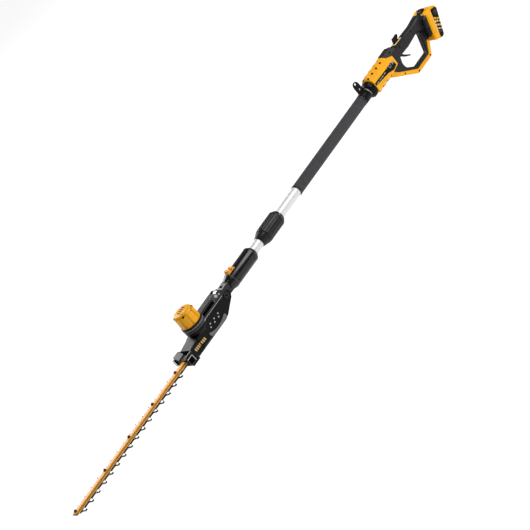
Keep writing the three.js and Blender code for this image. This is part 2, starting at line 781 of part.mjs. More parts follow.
// The black rear handle: hump, grip, inner ring of the loop and the battery seat.
function rearHandle() {
  const grip = alongY([
    [1838, 6],
    [1838, -10],
    [1866, -14],
    [1915, -17],
    [1974, -11],
    [1992, -20],
    [2036, -40],
    [2040, 12],
    [2018, 24],
    [1998, 22],
    [1975, 19.5],
    [1874, 23],
    [1860, 31],
  ], -GRIP_HALF, GRIP_HALF, { bevel: 6 });
  const loop = alongY([
    [1842, 8],
    [1829.8, 4],
    [1829.1, -14.5],
    [1806.9, -22.2],
    [1824, -43.7],
    [1891.2, -91.1],
    [1961.8, -91.1],
    [1982.6, -62.6],
    [1990.8, -55.3],
    [1998.8, -61.2],
    [2030, -58],
    [2036, -20],
    [2000, 2],
    [1975, 6],
    [1900, 8],
  ], -LOOP_HALF, LOOP_HALF, { bevel: 2, holes: [LOOP_WINDOW] });
  const shoulder = alongY([
    [1807.3, 37],
    [1812, 27.4],
    [1830.1, 19.4],
    [1829.1, -14.4],
    [1846, -14.4],
    [1862, 2],
    [1862, 30],
    [1850, 37],
  ], -23, 23).intersect(alongX([
    [-23, -30], [23, -30], [23, 22], [12, 37], [-12, 37], [-23, 22],
  ], 1800, 1870));
  const seat = alongY([
    [1994, -52],
    [2040, -60],
    [2040, 9],
    [2024, 11],
    [2012, 6],
    [2004, -8],
  ], -33, 33, { bevel: 5 });
  const behind = new THREE.BoxGeometry(80, 120, 200);
  behind.translate(40 - GAP, 0, 0);
  behind.rotateY(BATTERY_TILT);
  behind.translate(MOUNT_X, 0, MOUNT_Z);
  return cut(join(grip, loop, shoulder, seat), solid(behind), handleCavity());
}

const TRIGGER_PIVOT = [1868, -4];
const LOCK_PIVOT = [1890, 12];

function handleCavity() {
  const grip = alongY([
    [1800, 30],
    [1800, -12],
    [1862, -10],
    [1915, -12],
    [1978, -6],
    [2000, -6],
    [2006, 14],
    [1975, 15],
    [1878, 18],
    [1862, 26],
    [1850, 32],
    [1806, 32],
  ], -12.5, 12.5);
  const triggerWay = box(1858, 1918, -6.4, 6.4, -26, 0);
  const leverWay = box(1882, 1906, -6.4, 6.4, 10, 40);
  const pins = [TRIGGER_PIVOT, LOCK_PIVOT].map(([x, z]) => {
    return rod("y", -16, 16, 2.1, { at: [x, 0, z], segments: 12 });
  });
  return join(grip, triggerWay, leverWay, ...pins);
}

const HINGE_BORE = 2.15; // the small pins' corners turn inside the bore's flats

function trigger() {
  const [x, z] = TRIGGER_PIVOT;
  const lever = alongY([
    [x - 5, z + 5, 3],
    [x + 6, z + 4, 3],
    [x + 10, z - 10, 4],
    [x + 22, z - 24, 6],
    [x + 37, z - 36, 1],
    [x + 35, z - 40, 1],
    [x + 19, z - 29, 6],
    [x + 5, z - 14, 4],
    [x - 5, z - 5, 3],
  ], -6, 6);
  return lever.subtract(rod("y", -10, 10, HINGE_BORE, { at: [x, 0, z], segments: 12 }));
}

function lockOffLever() {
  const [x, z] = LOCK_PIVOT;
  const lever = alongY([
    [x - 5, z - 5, 2],
    [x + 5, z - 5, 2],
    [x + 5, z + 13, 2],
    [x + 19, z + 20, 2],
    [x + 25, z + 28, 1],
    [x + 12, z + 27, 2],
    [x + 1, z + 28, 1],
    [x - 4, z + 16, 3],
  ], -5.8, 5.8);
  return lever.subtract(rod("y", -10, 10, HINGE_BORE, { at: [x, 0, z], segments: 12 }));
}

function lockOffBezel() {
  const plate = alongY([[1877, 23.3], [1914, 22.1], [1914, 24.1], [1877, 25.3]], -10, 10);
  return plate.subtract(box(1881, 1909, -7, 7, 20, 30));
}

// The switch behind the trigger, with its plunger facing the lever.
function switchModule() {
  const body = box(1930, 1961, -10, 10, -6.5, 13);
  const plunger = rod("x", 1922, 1931, 3, { at: [0, 0, 3], segments: 12 });
  return join(body, plunger);
}

// The motor's control board, upright inside the yellow housing.
function controlBoard() {
  const board = box(1768, 1806, 9, 10.6, -14, 24);
  const parts = [[1772, -8, 7], [1784, -8, 5], [1794, 8, 8], [1774, 10, 5]].map(([x, z, size]) =>
    box(x, x + size, 5.5, 9.5, z, z + size));
  return join(board, ...parts);
}

const hingePin = ([x, z]) => rod("y", -15.5, 15.5, 2, { at: [x, 0, z], segments: 12 });

// ---- battery, in the tilted frame of its mounting face ------------------------------------
// Local X leaves the handle square to the face, local Z is the way the pack slides off.

function batteryFoot() {
  const neck = box(0, 4.2, -15, 15, -34, 25);
  const rail = box(4, 8, -23, 23, -34, 25);
  const terminals = box(7.8, 12, -11, 11, -26, 18);
  return join(neck, rail, terminals);
}

function batteryChannel() {
  return join(
    box(-5, 4.6, -15.6, 15.6, -90, 26),
    box(3.5, 8.6, -23.6, 23.6, -90, 26),
    box(8, 12.8, -11.6, 11.6, -90, 19),
  );
}

const CASE_SPLIT = 24; // how far out the parting face of the two halves is
const RIM_SPLIT = 47; // the upper half also caps the pack's top from here up
const PACK_OUTLINE = [
  [0.4, -46],
  [6, -49.5],
  [37, -49.5],
  [44.5, -43],
  [55.5, 43],
  [52, 51],
  [44, 55],
  [20, 52],
  [4, 43],
  [0.4, 39],
];

function packShell() {
  return alongY(PACK_OUTLINE, -BATTERY_HALF, BATTERY_HALF, { bevel: 4 });
}

const BUTTON = { x0: 6, x1: 23, half: 13, z0: 37, z1: 57, travel: 4 };

function batteryUpperCase() {
  const upperRoom = alongY([
    [-10, -90],
    [CASE_SPLIT, -90],
    [CASE_SPLIT, RIM_SPLIT - 3],
    [CASE_SPLIT + 3, RIM_SPLIT],
    [90, RIM_SPLIT],
    [90, 90],
    [-10, 90],
  ], -60, 60);
  const half = packShell().intersect(upperRoom);
  const low = BUTTON.z0 - BUTTON.travel - 0.6;
  const pocket = box(BUTTON.x0 - GAP, BUTTON.x1 + GAP, -BUTTON.half - GAP, BUTTON.half + GAP, low, 90);
  const inside = box(14.5, CASE_SPLIT + 1, -33, 33, -38, 30);
  return cut(half, batteryChannel(), pocket, inside);
}

function batteryLowerCase() {
  const lowerRoom = alongY([
    [CASE_SPLIT + GAP, -90],
    [90, -90],
    [90, RIM_SPLIT - GAP],
    [CASE_SPLIT + 3 + 0.4 * GAP, RIM_SPLIT - GAP],
    [CASE_SPLIT + GAP, RIM_SPLIT - 3 - 0.4 * GAP],
  ], -60, 60);
  const half = packShell().intersect(lowerRoom);
  const inside = box(0, 37, -33, 33, -37, 36);
  return half.subtract(inside);
}

const cellBlock = () => box(16, 36, -32, 32, -36, 28);

function batteryButton() {
  const { x0, x1, half, z0, z1 } = BUTTON;
  return alongY([[x0, z0], [x1, z0], [x1, z1], [x0 + 6, z1], [x0, z1 - 9]], -half, half, { bevel: 1 });
}

// ---- the whole tool -----------------------------------------------------------------------

const tool = new THREE.Group();
tool.name = "pole_hedge_trimmer";

const layout = new THREE.Group();
layout.position.set(-MID_X, 0, -FLOOR_Z);
tool.add(layout);

const place = (name, body, material, parent = layout) => parent.add(piece(name, body, material));

place("blade_upper", blade(UPPER_BLADE_Z), STEEL);
place("blade_lower", blade(LOWER_BLADE_Z), STEEL);
place("guide_bar", guideBar(), GOLD);
place("bar_bolt_1", tipBolt(BOLT_STATIONS[0]), BLACK);
BOLT_STATIONS.slice(1).forEach((station, index) => place(`bar_bolt_${index + 2}`, barBolt(station), BLACK));

const head = headBody();
const vents = headVents();
place("head_shell_left", cut(leftHalf(head), ...vents), BLACK);
place("head_shell_right", cut(rightHalf(head), ...vents), BLACK);
place("cheek_ledge_left", cheekLedge(-1), GREY);
place("cheek_ledge_right", cheekLedge(1), GREY);
place("front_guard", frontGuard(), GREY);
place("head_bottom_plate", headBottomPlate(), BLACK);
place("motor_cap", motorCap(), YELLOW);
place("motor_stator", motorStator(), COPPER);
place("motor_rotor", motorRotor(), STEEL);
place("crank_gear", crankGear(), STEEL);
place("pivot_pin", pivotPin(), STEEL);
place("detent_wheel", detentWheel(), STEEL);

place("connector_body", connectorBody(), BLACK);
place("release_slide", releaseSlide(), ORANGE);
place("lock_pin", lockPin(), STEEL);
place("front_tube", tube(921, JOINT_X - 8 - GAP), ALUMINIUM);
place("ferrule", ferrule(), BLACK);
place("pole_plug", polePlug(), GLOSS);
place("front_cable", innerCable(930, JOINT_X - 24 - GAP), BLACK);

place("collar", collar(), BLACK);
place("thrust_ring", thrustRing(), STEEL);

place("rear_flange", rearFlange(), BLACK);
place("pole_socket", poleSocket(), GLOSS);
place("rear_tube", tube(JOINT_X + 5 + GAP, 1765), ALUMINIUM);
place("rear_cable", innerCable(JOINT_X + 30 + GAP, 1812), BLACK);
place("foam_grip", foamGrip(), FOAM);
place("hanging_bracket", hangingBracket(), BLACK);
place("clamp_nut", clampNut(), BLACK);

const housing = frontHousing();
place("front_housing_left", leftHalf(housing), YELLOW);
place("front_housing_right", rightHalf(housing), YELLOW);
place("side_panel_left", sidePanel(-1), BLACK);
place("side_panel_right", sidePanel(1), BLACK);

const handle = rearHandle();
place("grip_shell_left", leftHalf(handle), BLACK);
place("grip_shell_right", rightHalf(handle), BLACK);
place("trigger", trigger(), BLACK);
place("trigger_pin", hingePin(TRIGGER_PIVOT), STEEL);
place("lock_off_lever", lockOffLever(), BLACK);
place("lock_off_pin", hingePin(LOCK_PIVOT), STEEL);
place("lock_off_bezel", lockOffBezel(), YELLOW);
place("switch_module", switchModule(), GLOSS);
place("control_board", controlBoard(), BOARD);

const battery = new THREE.Group();
battery.position.set(MOUNT_X, 0, MOUNT_Z);
battery.rotation.y = BATTERY_TILT;
layout.add(battery);

place("battery_foot", batteryFoot(), BLACK, battery);
place("battery_upper_case", batteryUpperCase(), YELLOW, battery);
place("battery_lower_case", batteryLowerCase(), BLACK, battery);
place("battery_cells", cellBlock(), CELL, battery);
place("battery_button", batteryButton(), BLACK, battery);

export default tool;
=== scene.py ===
"""Looks for the cordless pole hedge trimmer: finishes, soft edges and fine detail on the CAD frame."""

import math

import bmesh
import bpy
from mathutils import Matrix, Vector
from mathutils.bvhtree import BVHTree


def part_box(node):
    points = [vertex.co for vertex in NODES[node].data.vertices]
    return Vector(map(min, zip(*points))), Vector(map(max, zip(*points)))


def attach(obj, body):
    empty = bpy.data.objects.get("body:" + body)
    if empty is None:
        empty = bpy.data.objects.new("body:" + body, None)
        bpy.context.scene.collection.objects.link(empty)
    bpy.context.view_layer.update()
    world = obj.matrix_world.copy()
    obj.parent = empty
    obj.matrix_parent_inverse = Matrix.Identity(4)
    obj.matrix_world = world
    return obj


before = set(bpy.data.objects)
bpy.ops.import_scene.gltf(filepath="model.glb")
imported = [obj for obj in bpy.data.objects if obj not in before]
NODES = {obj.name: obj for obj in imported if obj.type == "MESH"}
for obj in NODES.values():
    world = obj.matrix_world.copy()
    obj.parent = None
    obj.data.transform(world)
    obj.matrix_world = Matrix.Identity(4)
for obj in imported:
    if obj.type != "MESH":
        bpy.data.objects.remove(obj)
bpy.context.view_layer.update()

# ---- places -------------------------------------------------------------------------------
# The CAD's stations are in millimetres: X from the blade's tip, Y across the tool with the left
# side negative, and Z over the pole's axis. The head's hinge pin crosses that axis.

PIVOT_X = 811
pin_low, pin_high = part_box("pivot_pin")
MID_X = PIVOT_X - 500 * (pin_low.x + pin_high.x)
FLOOR_Z = -500 * (pin_low.z + pin_high.z)

CAP_X = 681
PACK_X = 2014
PACK_Z = -25
PACK_HALF = 37.5
PACK_TILT = math.radians(21)
PACK_OUT = Vector((math.cos(PACK_TILT), 0, -math.sin(PACK_TILT)))
PACK_UP = Vector((math.sin(PACK_TILT), 0, math.cos(PACK_TILT)))
RIGHT = Vector((0, 1, 0))
UP = Vector((0, 0, 1))
BACK = Vector((1, 0, 0))
SIDES = (("left", -1), ("right", 1))

# How far outside a node a line toward it starts, in metres.
CLEAR = 0.06


def at(x, y, z):
    """A point at CAD stations, in the frame's metres."""
    return Vector((x - MID_X, y, z - FLOOR_Z)) / 1000


def on_pack(out, y, up):
    """A point in the battery's own tilted stations, in the frame's metres."""
    return at(PACK_X, y, PACK_Z) + (PACK_OUT * out + PACK_UP * up) / 1000


def outward(side):
    """The way straight out from one side of the tool."""
    return Vector((0, side, 0))


def stand(point, out, along=BACK):
    """Places a solid made in millimetres: its Z axis on `out`, its X axis nearest to `along`."""
    z = Vector(out).normalized()
    x = (Vector(along) - z * z.dot(Vector(along))).normalized()
    turn = Matrix((x, z.cross(x), z)).transposed().to_4x4()
    return Matrix.Translation(point) @ turn @ Matrix.Scale(0.001, 4)


trees = {}


def land(node, spot, out):
    """Where a line coming in against `out`, over a spot, first meets a CAD node, and its normal."""
    if node not in trees:
        data = NODES[node].data
        corners = [vertex.co for vertex in data.vertices]
        trees[node] = BVHTree.FromPolygons(corners, [tuple(face.vertices) for face in data.polygons])
    point, normal, _, _ = trees[node].ray_cast(spot + out * CLEAR, -out)
    if normal.dot(out) < 0:
        normal = -normal
    return point, normal


# ---- finishes -----------------------------------------------------------------------------


def shade(colour, share):
    """A colour made darker by one share in all its parts."""
    return tuple(part * share for part in colour)


class Finish:
    """A procedural material: one Principled shader, with short calls that wire its nodes."""

    def __init__(self, name, slot, metallic=0.0, coat=0.0, specular=0.5):
        self.slot = slot
        self.material = bpy.data.materials.new(name)
        self.material.use_nodes = True
        self.nodes = self.material.node_tree.nodes
        self.links = self.material.node_tree.links
        self.shader = self.nodes["Principled BSDF"]
        self.shader.inputs["Metallic"].default_value = metallic
        self.shader.inputs["Coat Weight"].default_value = coat
        self.shader.inputs["Coat Roughness"].default_value = 0.15
        self.shader.inputs["Specular IOR Level"].default_value = specular
        coordinates = self.nodes.new("ShaderNodeTexCoord")
        self.place = coordinates.outputs["Object"]
        self.facing = coordinates.outputs["Normal"]

    def stretched(self, scale):
        """The piece's own coordinates, in metres, times a scale for each axis."""
        mapping = self.nodes.new("ShaderNodeMapping")
        mapping.inputs["Scale"].default_value = scale
        self.links.new(self.place, mapping.inputs["Vector"])
        return mapping.outputs["Vector"]

    def noise(self, scale, detail, roughness=0.55):
        """Soft noise, with one scale or a scale for each axis."""
        texture = self.nodes.new("ShaderNodeTexNoise")
        texture.inputs["Scale"].default_value = 1.0
        texture.inputs["Detail"].default_value = detail
        texture.inputs["Roughness"].default_value = roughness
        size = scale if isinstance(scale, tuple) else (scale, scale, scale)
        self.links.new(self.stretched(size), texture.inputs["Vector"])
        return texture.outputs["Fac"]

    def cells(self, scale):
        """Round cells, low at their centres."""
        texture = self.nodes.new("ShaderNodeTexVoronoi")
        texture.inputs["Scale"].default_value = 1.0
        self.links.new(self.stretched((scale, scale, scale)), texture.inputs["Vector"])
        return texture.outputs["Distance"]

    def turns(self, scale):
        """Even bands stacked up the Z axis."""
        texture = self.nodes.new("ShaderNodeTexWave")
        texture.bands_direction = "Z"
        texture.inputs["Scale"].default_value = scale
        self.links.new(self.place, texture.inputs["Vector"])
        return texture.outputs["Fac"]

    def edges(self, start=0.54, end=0.68):
        """High along the surface's outer edges."""
        geometry = self.nodes.new("ShaderNodeNewGeometry")
        return self.spread(geometry.outputs["Pointiness"], start, end, 0.0, 1.0)

    def upright(self):
        """High on upright faces, zero on level ones."""
        split = self.nodes.new("ShaderNodeSeparateXYZ")
        self.links.new(self.facing, split.inputs["Vector"])
        size = self.nodes.new("ShaderNodeMath")
        size.operation = "ABSOLUTE"
        self.links.new(split.outputs["Z"], size.inputs[0])
        return self.spread(size.outputs["Value"], 0.45, 0.75, 1.0, 0.0)

    def spread(self, value, start, end, low, high):
        """Moves a value's stretch from start to end on to low to high."""
        ramp = self.nodes.new("ShaderNodeMapRange")
        for name, number in (("From Min", start), ("From Max", end), ("To Min", low), ("To Max", high)):
            ramp.inputs[name].default_value = number
        self.links.new(value, ramp.inputs["Value"])
        return ramp.outputs["Result"]

    def sum(self, first, second, share):
        """first, plus a share of second."""
        add = self.nodes.new("ShaderNodeMath")
        add.operation = "MULTIPLY_ADD"
        add.inputs[1].default_value = share
        self.links.new(second, add.inputs[0])
        self.links.new(first, add.inputs[2])
        return add.outputs["Value"]

    def mix(self, share, first, second):
        """first where share is 0, second where it is 1. Each is a colour or a socket."""
        blend = self.nodes.new("ShaderNodeMix")
        blend.data_type = "RGBA"
        self.links.new(share, blend.inputs["Factor"])
        for name, colour in (("A", first), ("B", second)):
            socket = next(s for s in blend.inputs if s.name == name and s.type == "RGBA")
            if isinstance(colour, tuple):
                socket.default_value = (*colour, 1.0)
            else:
                self.links.new(colour, socket)
        return next(s for s in blend.outputs if s.type == "RGBA")

    def fade(self, value, first, second, start=0.3, end=0.7, most=1.0):
        """first where a value is under start, and up to `most` of second where it is over end."""
        return self.mix(self.spread(value, start, end, 0.0, most), first, second)

    def colour(self, socket):
        self.links.new(socket, self.shader.inputs["Base Color"])

    def rough(self, value, start, end, low, high):
        """Roughness from low to high as a value goes from start to end."""
        self.links.new(self.spread(value, start, end, low, high), self.shader.inputs["Roughness"])

    def bump(self, socket, distance, strength):
        node = self.nodes.new("ShaderNodeBump")
        node.inputs["Distance"].default_value = distance
        node.inputs["Strength"].default_value = strength
        self.links.new(socket, node.inputs["Height"])
        self.links.new(node.outputs["Normal"], self.shader.inputs["Normal"])


def moulded(name, slot, colour, edge_highlight, roughness, coat=0.0, grain=0.00012, specular=0.12):
    """Injection-moulded plastic: fine spark grain, faint flow clouds, and edges lightened as a painted
    highlight.
    """
    finish = Finish(name, slot, coat=coat, specular=specular)
    clouds = finish.noise(28, 4)
    body = finish.fade(clouds, shade(colour, 0.86), colour, 0.35, 0.65)
    # Edges blend towards a lighter colour: painted highlight.
    finish.colour(finish.mix(finish.edges(), body, edge_highlight))
    fine = finish.noise(1500, 2)
    finish.rough(finish.sum(clouds, fine, 0.5), 0.5, 1.0, roughness - 0.07, roughness + 0.09)
    finish.bump(fine, grain, 0.5)
    return finish


def drawn_tube():
    """Satin anodised aluminium tube with fine lines along its length."""
    finish = Finish("anodised_tube", "aluminium", metallic=0.5)
    lines = finish.noise((9, 1500, 1500), 3)
    smudges = finish.noise(22, 3)
    finish.colour(finish.fade(lines, (0.7, 0.705, 0.72), (0.82, 0.82, 0.835)))
    finish.rough(finish.sum(lines, smudges, 0.6), 0.4, 1.2, 0.42, 0.6)
    finish.bump(lines, 0.00004, 0.4)
    return finish


def ground_steel():
    """Ground steel: fine parallel lines, a faint oil film, and edges brightened as a painted highlight.
    """
    tint = (0.62, 0.62, 0.63)
    finish = Finish("ground_steel", "steel", metallic=1.0)
    lines = finish.noise((1400, 12, 12), 3)
    film = finish.noise(45, 4)
    body = finish.fade(lines, shade(tint, 0.78), tint)
    stained = finish.fade(film, body, shade(tint, 0.55), 0.55, 0.75, 0.45)
    # Edges blend towards near-white: painted highlight.
    finish.colour(finish.mix(finish.edges(), stained, (0.9, 0.9, 0.92)))
    finish.rough(finish.sum(lines, film, 0.7), 0.4, 1.3, 0.2, 0.46)
    finish.bump(lines, 0.00003, 0.4)
    return finish


def blade_steel():
    """Blade steel: bright ground faces, and upright flanks coloured near-black as painted shade."""
    finish = Finish("blade_steel", "steel", metallic=0.8)
    lines = finish.noise((900, 25, 25), 3)
    film = finish.noise(45, 4)
    bright = finish.fade(lines, (0.5, 0.5, 0.51), (0.66, 0.66, 0.67))
    stained = finish.fade(film, bright, (0.36, 0.36, 0.37), 0.55, 0.75, 0.45)
    # Upright faces go near-black: painted shade for the teeth's outlines.
    finish.colour(finish.mix(finish.upright(), stained, (0.006, 0.006, 0.006)))
    finish.rough(finish.sum(lines, film, 0.7), 0.4, 1.3, 0.24, 0.5)
    finish.bump(lines, 0.00003, 0.4)
    return finish


def painted_bar():
    """Orange paint over an aluminium extrusion, its corners lightened as a painted highlight."""
    finish = Finish("bar_paint", "bar_paint", specular=0.25)
    streaks = finish.noise((14, 500, 500), 3)
    chips = finish.noise(260, 4, 0.7)
    body = finish.fade(streaks, (0.75, 0.29, 0.012), (0.92, 0.4, 0.03))
    bare = finish.fade(chips, body, (0.75, 0.66, 0.55), 0.68, 0.74)
    # Corners blend towards a light orange: painted highlight.
    finish.colour(finish.mix(finish.edges(0.53, 0.64), bare, (0.98, 0.68, 0.3)))
    finish.rough(chips, 0.3, 0.7, 0.26, 0.42)
    finish.bump(streaks, 0.00005, 0.3)
    return finish


def foam_rubber():
    """Closed-cell foam sleeve with fine pores and a dull skin."""
    finish = Finish("foam_rubber", "foam", specular=0.3)
    pores = finish.cells(900)
    lumps = finish.noise(60, 4)
    body = finish.fade(pores, (0.012, 0.012, 0.013), (0.055, 0.056, 0.06), 0.1, 0.7)
    finish.colour(finish.fade(lumps, body, (0.07, 0.072, 0.078), 0.4, 0.7, 0.5))
    finish.rough(lumps, 0.3, 0.7, 0.62, 0.85)
    finish.bump(finish.sum(pores, lumps, 0.4), 0.0003, 0.6)
    return finish


def windings():
    """Lacquered copper wire, laid in fine turns."""
    finish = Finish("copper_windings", "copper", metallic=0.8, coat=0.4)
    turns = finish.turns(330)
    clouds = finish.noise(80, 3)
    body = finish.mix(turns, (0.16, 0.05, 0.02), (0.62, 0.26, 0.1))
    finish.colour(finish.fade(clouds, body, (0.3, 0.12, 0.05), 0.5, 0.8, 0.6))
    finish.rough(clouds, 0.3, 0.7, 0.25, 0.45)
    finish.bump(turns, 0.0003, 0.8)
    return finish


def lit_floor():
    """Plain pale studio floor with a glow of its own."""
    finish = Finish("pale_floor", None, specular=0.1)
    clouds = finish.noise(0.8, 2)
    finish.colour(finish.mix(clouds, (0.24, 0.24, 0.24), (0.26, 0.26, 0.26)))
    finish.rough(clouds, 0.3, 0.7, 0.7, 0.8)
    finish.shader.inputs["Emission Color"].default_value = (1.0, 1.0, 1.0, 1.0)
    finish.shader.inputs["Emission Strength"].default_value = 0.88
    return finish.material


# Bump height of the finest grain, in metres.
SMOOTH = 0.00003

# Each moulded finish gives its name, slot, colour, the lighter colour painted on its edges as a
# highlight, and its roughness.

YELLOW = moulded(
    "yellow_shell", "yellow_plastic", (1.0, 0.45, 0.003), (1.0, 0.56, 0.04), 0.36, coat=0.08, specular=0.2
)
BLACK = moulded("black_shell", "black_plastic", (0.0045, 0.0046, 0.005), (0.03, 0.031, 0.034), 0.36)
SOFT_BLACK = moulded(
    "black_grip", "black_plastic", (0.009, 0.0091, 0.0096), (0.035, 0.036, 0.039), 0.42, specular=0.3
)
GLOSS = moulded(
    "black_gloss", "gloss_black", (0.003, 0.0031, 0.0034), (0.03, 0.031, 0.034), 0.2,
    grain=SMOOTH, specular=0.42,
)
# Near-black: dark joints, and painted shade in holes, sockets, slots, grooves, vents and recesses, and
# along the blade's teeth.
DARK = moulded(
    "dark_joints_and_painted_shade", "black_plastic", (0.0015, 0.0015, 0.0015), (0.002, 0.002, 0.002), 0.8, specular=0.03
)
# Dark grey: grey trim and marks, and painted shade on the guard frame's front and bottom bars.
GREY = moulded("grey_trim_and_painted_shade", "black_plastic", (0.06, 0.061, 0.063), (0.14, 0.142, 0.146), 0.4)
MIDDLE = moulded("middle_trim", "black_plastic", (0.17, 0.171, 0.173), (0.26, 0.26, 0.26), 0.4)
# Pale grey: light trim, and painted highlight on lines, vent glints and frame bars.
PALE = moulded("pale_trim_and_painted_highlight", "black_plastic", (0.46, 0.462, 0.46), (0.6, 0.6, 0.59), 0.42)
ORANGE = moulded(
    "orange_slide", "orange_plastic", (0.95, 0.38, 0.02), (1.0, 0.6, 0.15), 0.33, coat=0.2, specular=0.3
)
# Dark red: the pack's red latch marks, and painted shade between the release slide's lobes.
RED = moulded("dark_red", "orange_plastic", (0.22, 0.02, 0.008), (0.35, 0.05, 0.02), 0.4)
# Cream: the yellow plastic lightened as a painted highlight.
CREAM = moulded("cream_painted_highlight", "yellow_plastic", (0.98, 0.7, 0.27), (1.0, 0.82, 0.45), 0.4)
# Darker and lighter copies of the bar's orange paint: painted shade and painted highlight.
BAR_PAINTED_SHADE = moulded("bar_painted_shade", "bar_paint", (0.42, 0.15, 0.004), (0.6, 0.25, 0.01), 0.4)
BAR_PAINTED_HIGHLIGHT = moulded("bar_painted_highlight", "bar_paint", (0.85, 0.46, 0.09), (1.0, 0.6, 0.2), 0.4)
INK = moulded("grey_ink", "black_plastic", (0.5, 0.5, 0.49), (0.55, 0.55, 0.54), 0.5, grain=SMOOTH)
TAN_INK = moulded("tan_ink", "yellow_plastic", (0.66, 0.4, 0.13), (0.75, 0.5, 0.2), 0.5, grain=SMOOTH)
CELL = moulded("cell_wrap", "cell_wrap", (0.07, 0.25, 0.32), (0.2, 0.4, 0.46), 0.3, coat=0.3)
BOARD = moulded("board_green", "board_green", (0.015, 0.14, 0.06), (0.4, 0.34, 0.12), 0.35, coat=0.3)
TUBE = drawn_tube()
STEEL = ground_steel()
BLADE = blade_steel()
BLACKENED = moulded(
    "blackened_steel", "dark_steel", (0.02, 0.02, 0.021), (0.18, 0.18, 0.185), 0.35, coat=0.2
)
BAR = painted_bar()
FOAM = foam_rubber()
COPPER = windings()

# ---- CAD nodes ----------------------------------------------------------------------------

WELD_REACH = 0.00002
BOLT_COUNT = 5


def dress(finish, softness, *names):
    """Gives CAD nodes their finish and softens their edges by a width in millimetres."""
    for name in names:
        node = NODES[name]
        node.data.materials.clear()
        node.data.materials.append(finish.material)
        custom = node.data.attributes.get("custom_normal")
        if custom:
            node.data.attributes.remove(custom)
        for face in node.data.polygons:
            face.use_smooth = True
        weld = node.modifiers.new("weld", "WELD")
        weld.merge_threshold = WELD_REACH
        bevel = node.modifiers.new("soft_edges", "BEVEL")
        bevel.width = softness / 1000
        bevel.segments = 3
        bevel.limit_method = "ANGLE"
        bevel.angle_limit = math.radians(28)
        bevel.use_clamp_overlap = False
        bevel.harden_normals = True
        bevel.miter_outer = "MITER_ARC"


dress(BLADE, 0.25, "blade_upper", "blade_lower")
dress(BAR, 0.5, "guide_bar")
dress(BLACKENED, 0.3, *[f"bar_bolt_{number}" for number in range(1, BOLT_COUNT + 1)])
dress(BLACK, 0.5, "head_shell_left", "head_shell_right")
dress(BLACK, 1.2, "front_guard")
dress(BLACK, 0.4, "head_bottom_plate")
dress(MIDDLE, 0.4, "cheek_ledge_left", "cheek_ledge_right")
dress(YELLOW, 1.1, "motor_cap")
dress(COPPER, 0.3, "motor_stator")
dress(BLACKENED, 0.3, "pivot_pin")
dress(STEEL, 0.2, "motor_rotor", "crank_gear", "detent_wheel", "lock_pin", "thrust_ring")
dress(STEEL, 0.2, "trigger_pin", "lock_off_pin")
dress(GLOSS, 0.8, "connector_body")
dress(ORANGE, 0.4, "release_slide")
dress(SOFT_BLACK, 0.5, "ferrule", "collar")
dress(BLACK, 0.5, "rear_flange", "hanging_bracket", "clamp_nut")
dress(TUBE, 0.3, "front_tube", "rear_tube")
dress(FOAM, 0.6, "foam_grip")
dress(YELLOW, 1.0, "front_housing_left", "front_housing_right")
dress(BLACK, 0.2, "side_panel_left", "side_panel_right")
dress(SOFT_BLACK, 1.8, "grip_shell_left", "grip_shell_right")
dress(BLACK, 0.5, "trigger", "lock_off_lever", "battery_foot")
# Lock-off bezel lightened to cream: painted highlight.
dress(CREAM, 0.3, "lock_off_bezel")
dress(GLOSS, 0.3, "pole_plug", "pole_socket", "switch_module", "front_cable", "rear_cable")
dress(YELLOW, 1.4, "battery_upper_case")
dress(BLACK, 1.4, "battery_lower_case")
dress(BLACK, 0.4, "battery_button")
dress(CELL, 0.4, "battery_cells")
dress(BOARD, 0.2, "control_board")

# ---- solids for the detail pieces, in millimetres -----------------------------------------

# How far a rib, screw or well goes down into the surface that it stands on.
SUNK = 0.4
# Radius of the innermost ring of a turned solid, which closes it.
HUB = 0.2


def slab(corners, low, high):
    """A flat outline, given counter-clockwise, pushed from one height to another."""
    mesh = bmesh.new()
    under = [mesh.verts.new((x, y, low)) for x, y in corners]
    over = [mesh.verts.new((x, y, high)) for x, y in corners]
    bridge(mesh, [under, over])
    return mesh


def rounded(width, depth, radius, steps=4):
    """Corners of a rectangle with rounded corners, centred on the origin."""
    corners = []
    for quarter, (side_x, side_y) in enumerate(((1, 1), (-1, 1), (-1, -1), (1, -1))):
        for step in range(steps + 1):
            angle = math.radians(90 * (quarter + step / steps))
            x = side_x * (width / 2 - radius) + radius * math.cos(angle)
            y = side_y * (depth / 2 - radius) + radius * math.sin(angle)
            corners.append((x, y))
    return corners


def bead(width, depth, height, radius):
    """A rounded block whose top edge is drawn in, as a moulded rib or pad is."""
    mesh = bmesh.new()
    inset = min(height * 0.35, radius * 0.8)
    shoulder = height - inset
    crown = height - 0.3 * inset
    rings = []
    for grow, level in ((0, -SUNK), (0, shoulder), (-0.3 * inset, crown), (-inset, height)):
        outline = rounded(width + 2 * grow, depth + 2 * grow, max(radius + grow, 0.05))
        rings.append([mesh.verts.new((x, y, level)) for x, y in outline])
    bridge(mesh, rings)
    return mesh


def bridge(mesh, rings):
    """Skins a stack of rings and closes both its ends."""
    mesh.faces.new(rings[0][::-1])
    mesh.faces.new(rings[-1])
    for lower, upper in zip(rings, rings[1:]):
        for index, corner in enumerate(lower):
            following = (index + 1) % len(lower)
            mesh.faces.new((corner, lower[following], upper[following], upper[index]))


def turned(profile, segments=20):
    """Radius and height pairs, turned about Z and closed at both ends."""
    mesh = bmesh.new()
    rings = []
    for radius, level in profile:
        ring = []
        for step in range(segments):
            angle = 2 * math.pi * step / segments
            ring.append(mesh.verts.new((radius * math.cos(angle), radius * math.sin(angle), level)))
        rings.append(ring)
    bridge(mesh, rings)
    return mesh


def disc(radius, low, high):
    """A plain round block."""
    return turned([(radius, low), (radius, high), (HUB, high)])


def scaled(profile, radius):
    """Turns a profile whose radii are shares of one radius."""
    return turned([(radius * share, level) for share, level in profile])


def hexagon(across):
    """Corners of a regular hexagon, given its width from corner to corner."""
    angles = [math.radians(60 * corner) for corner in range(6)]
    return [(across / 2 * math.cos(angle), across / 2 * math.sin(angle)) for angle in angles]


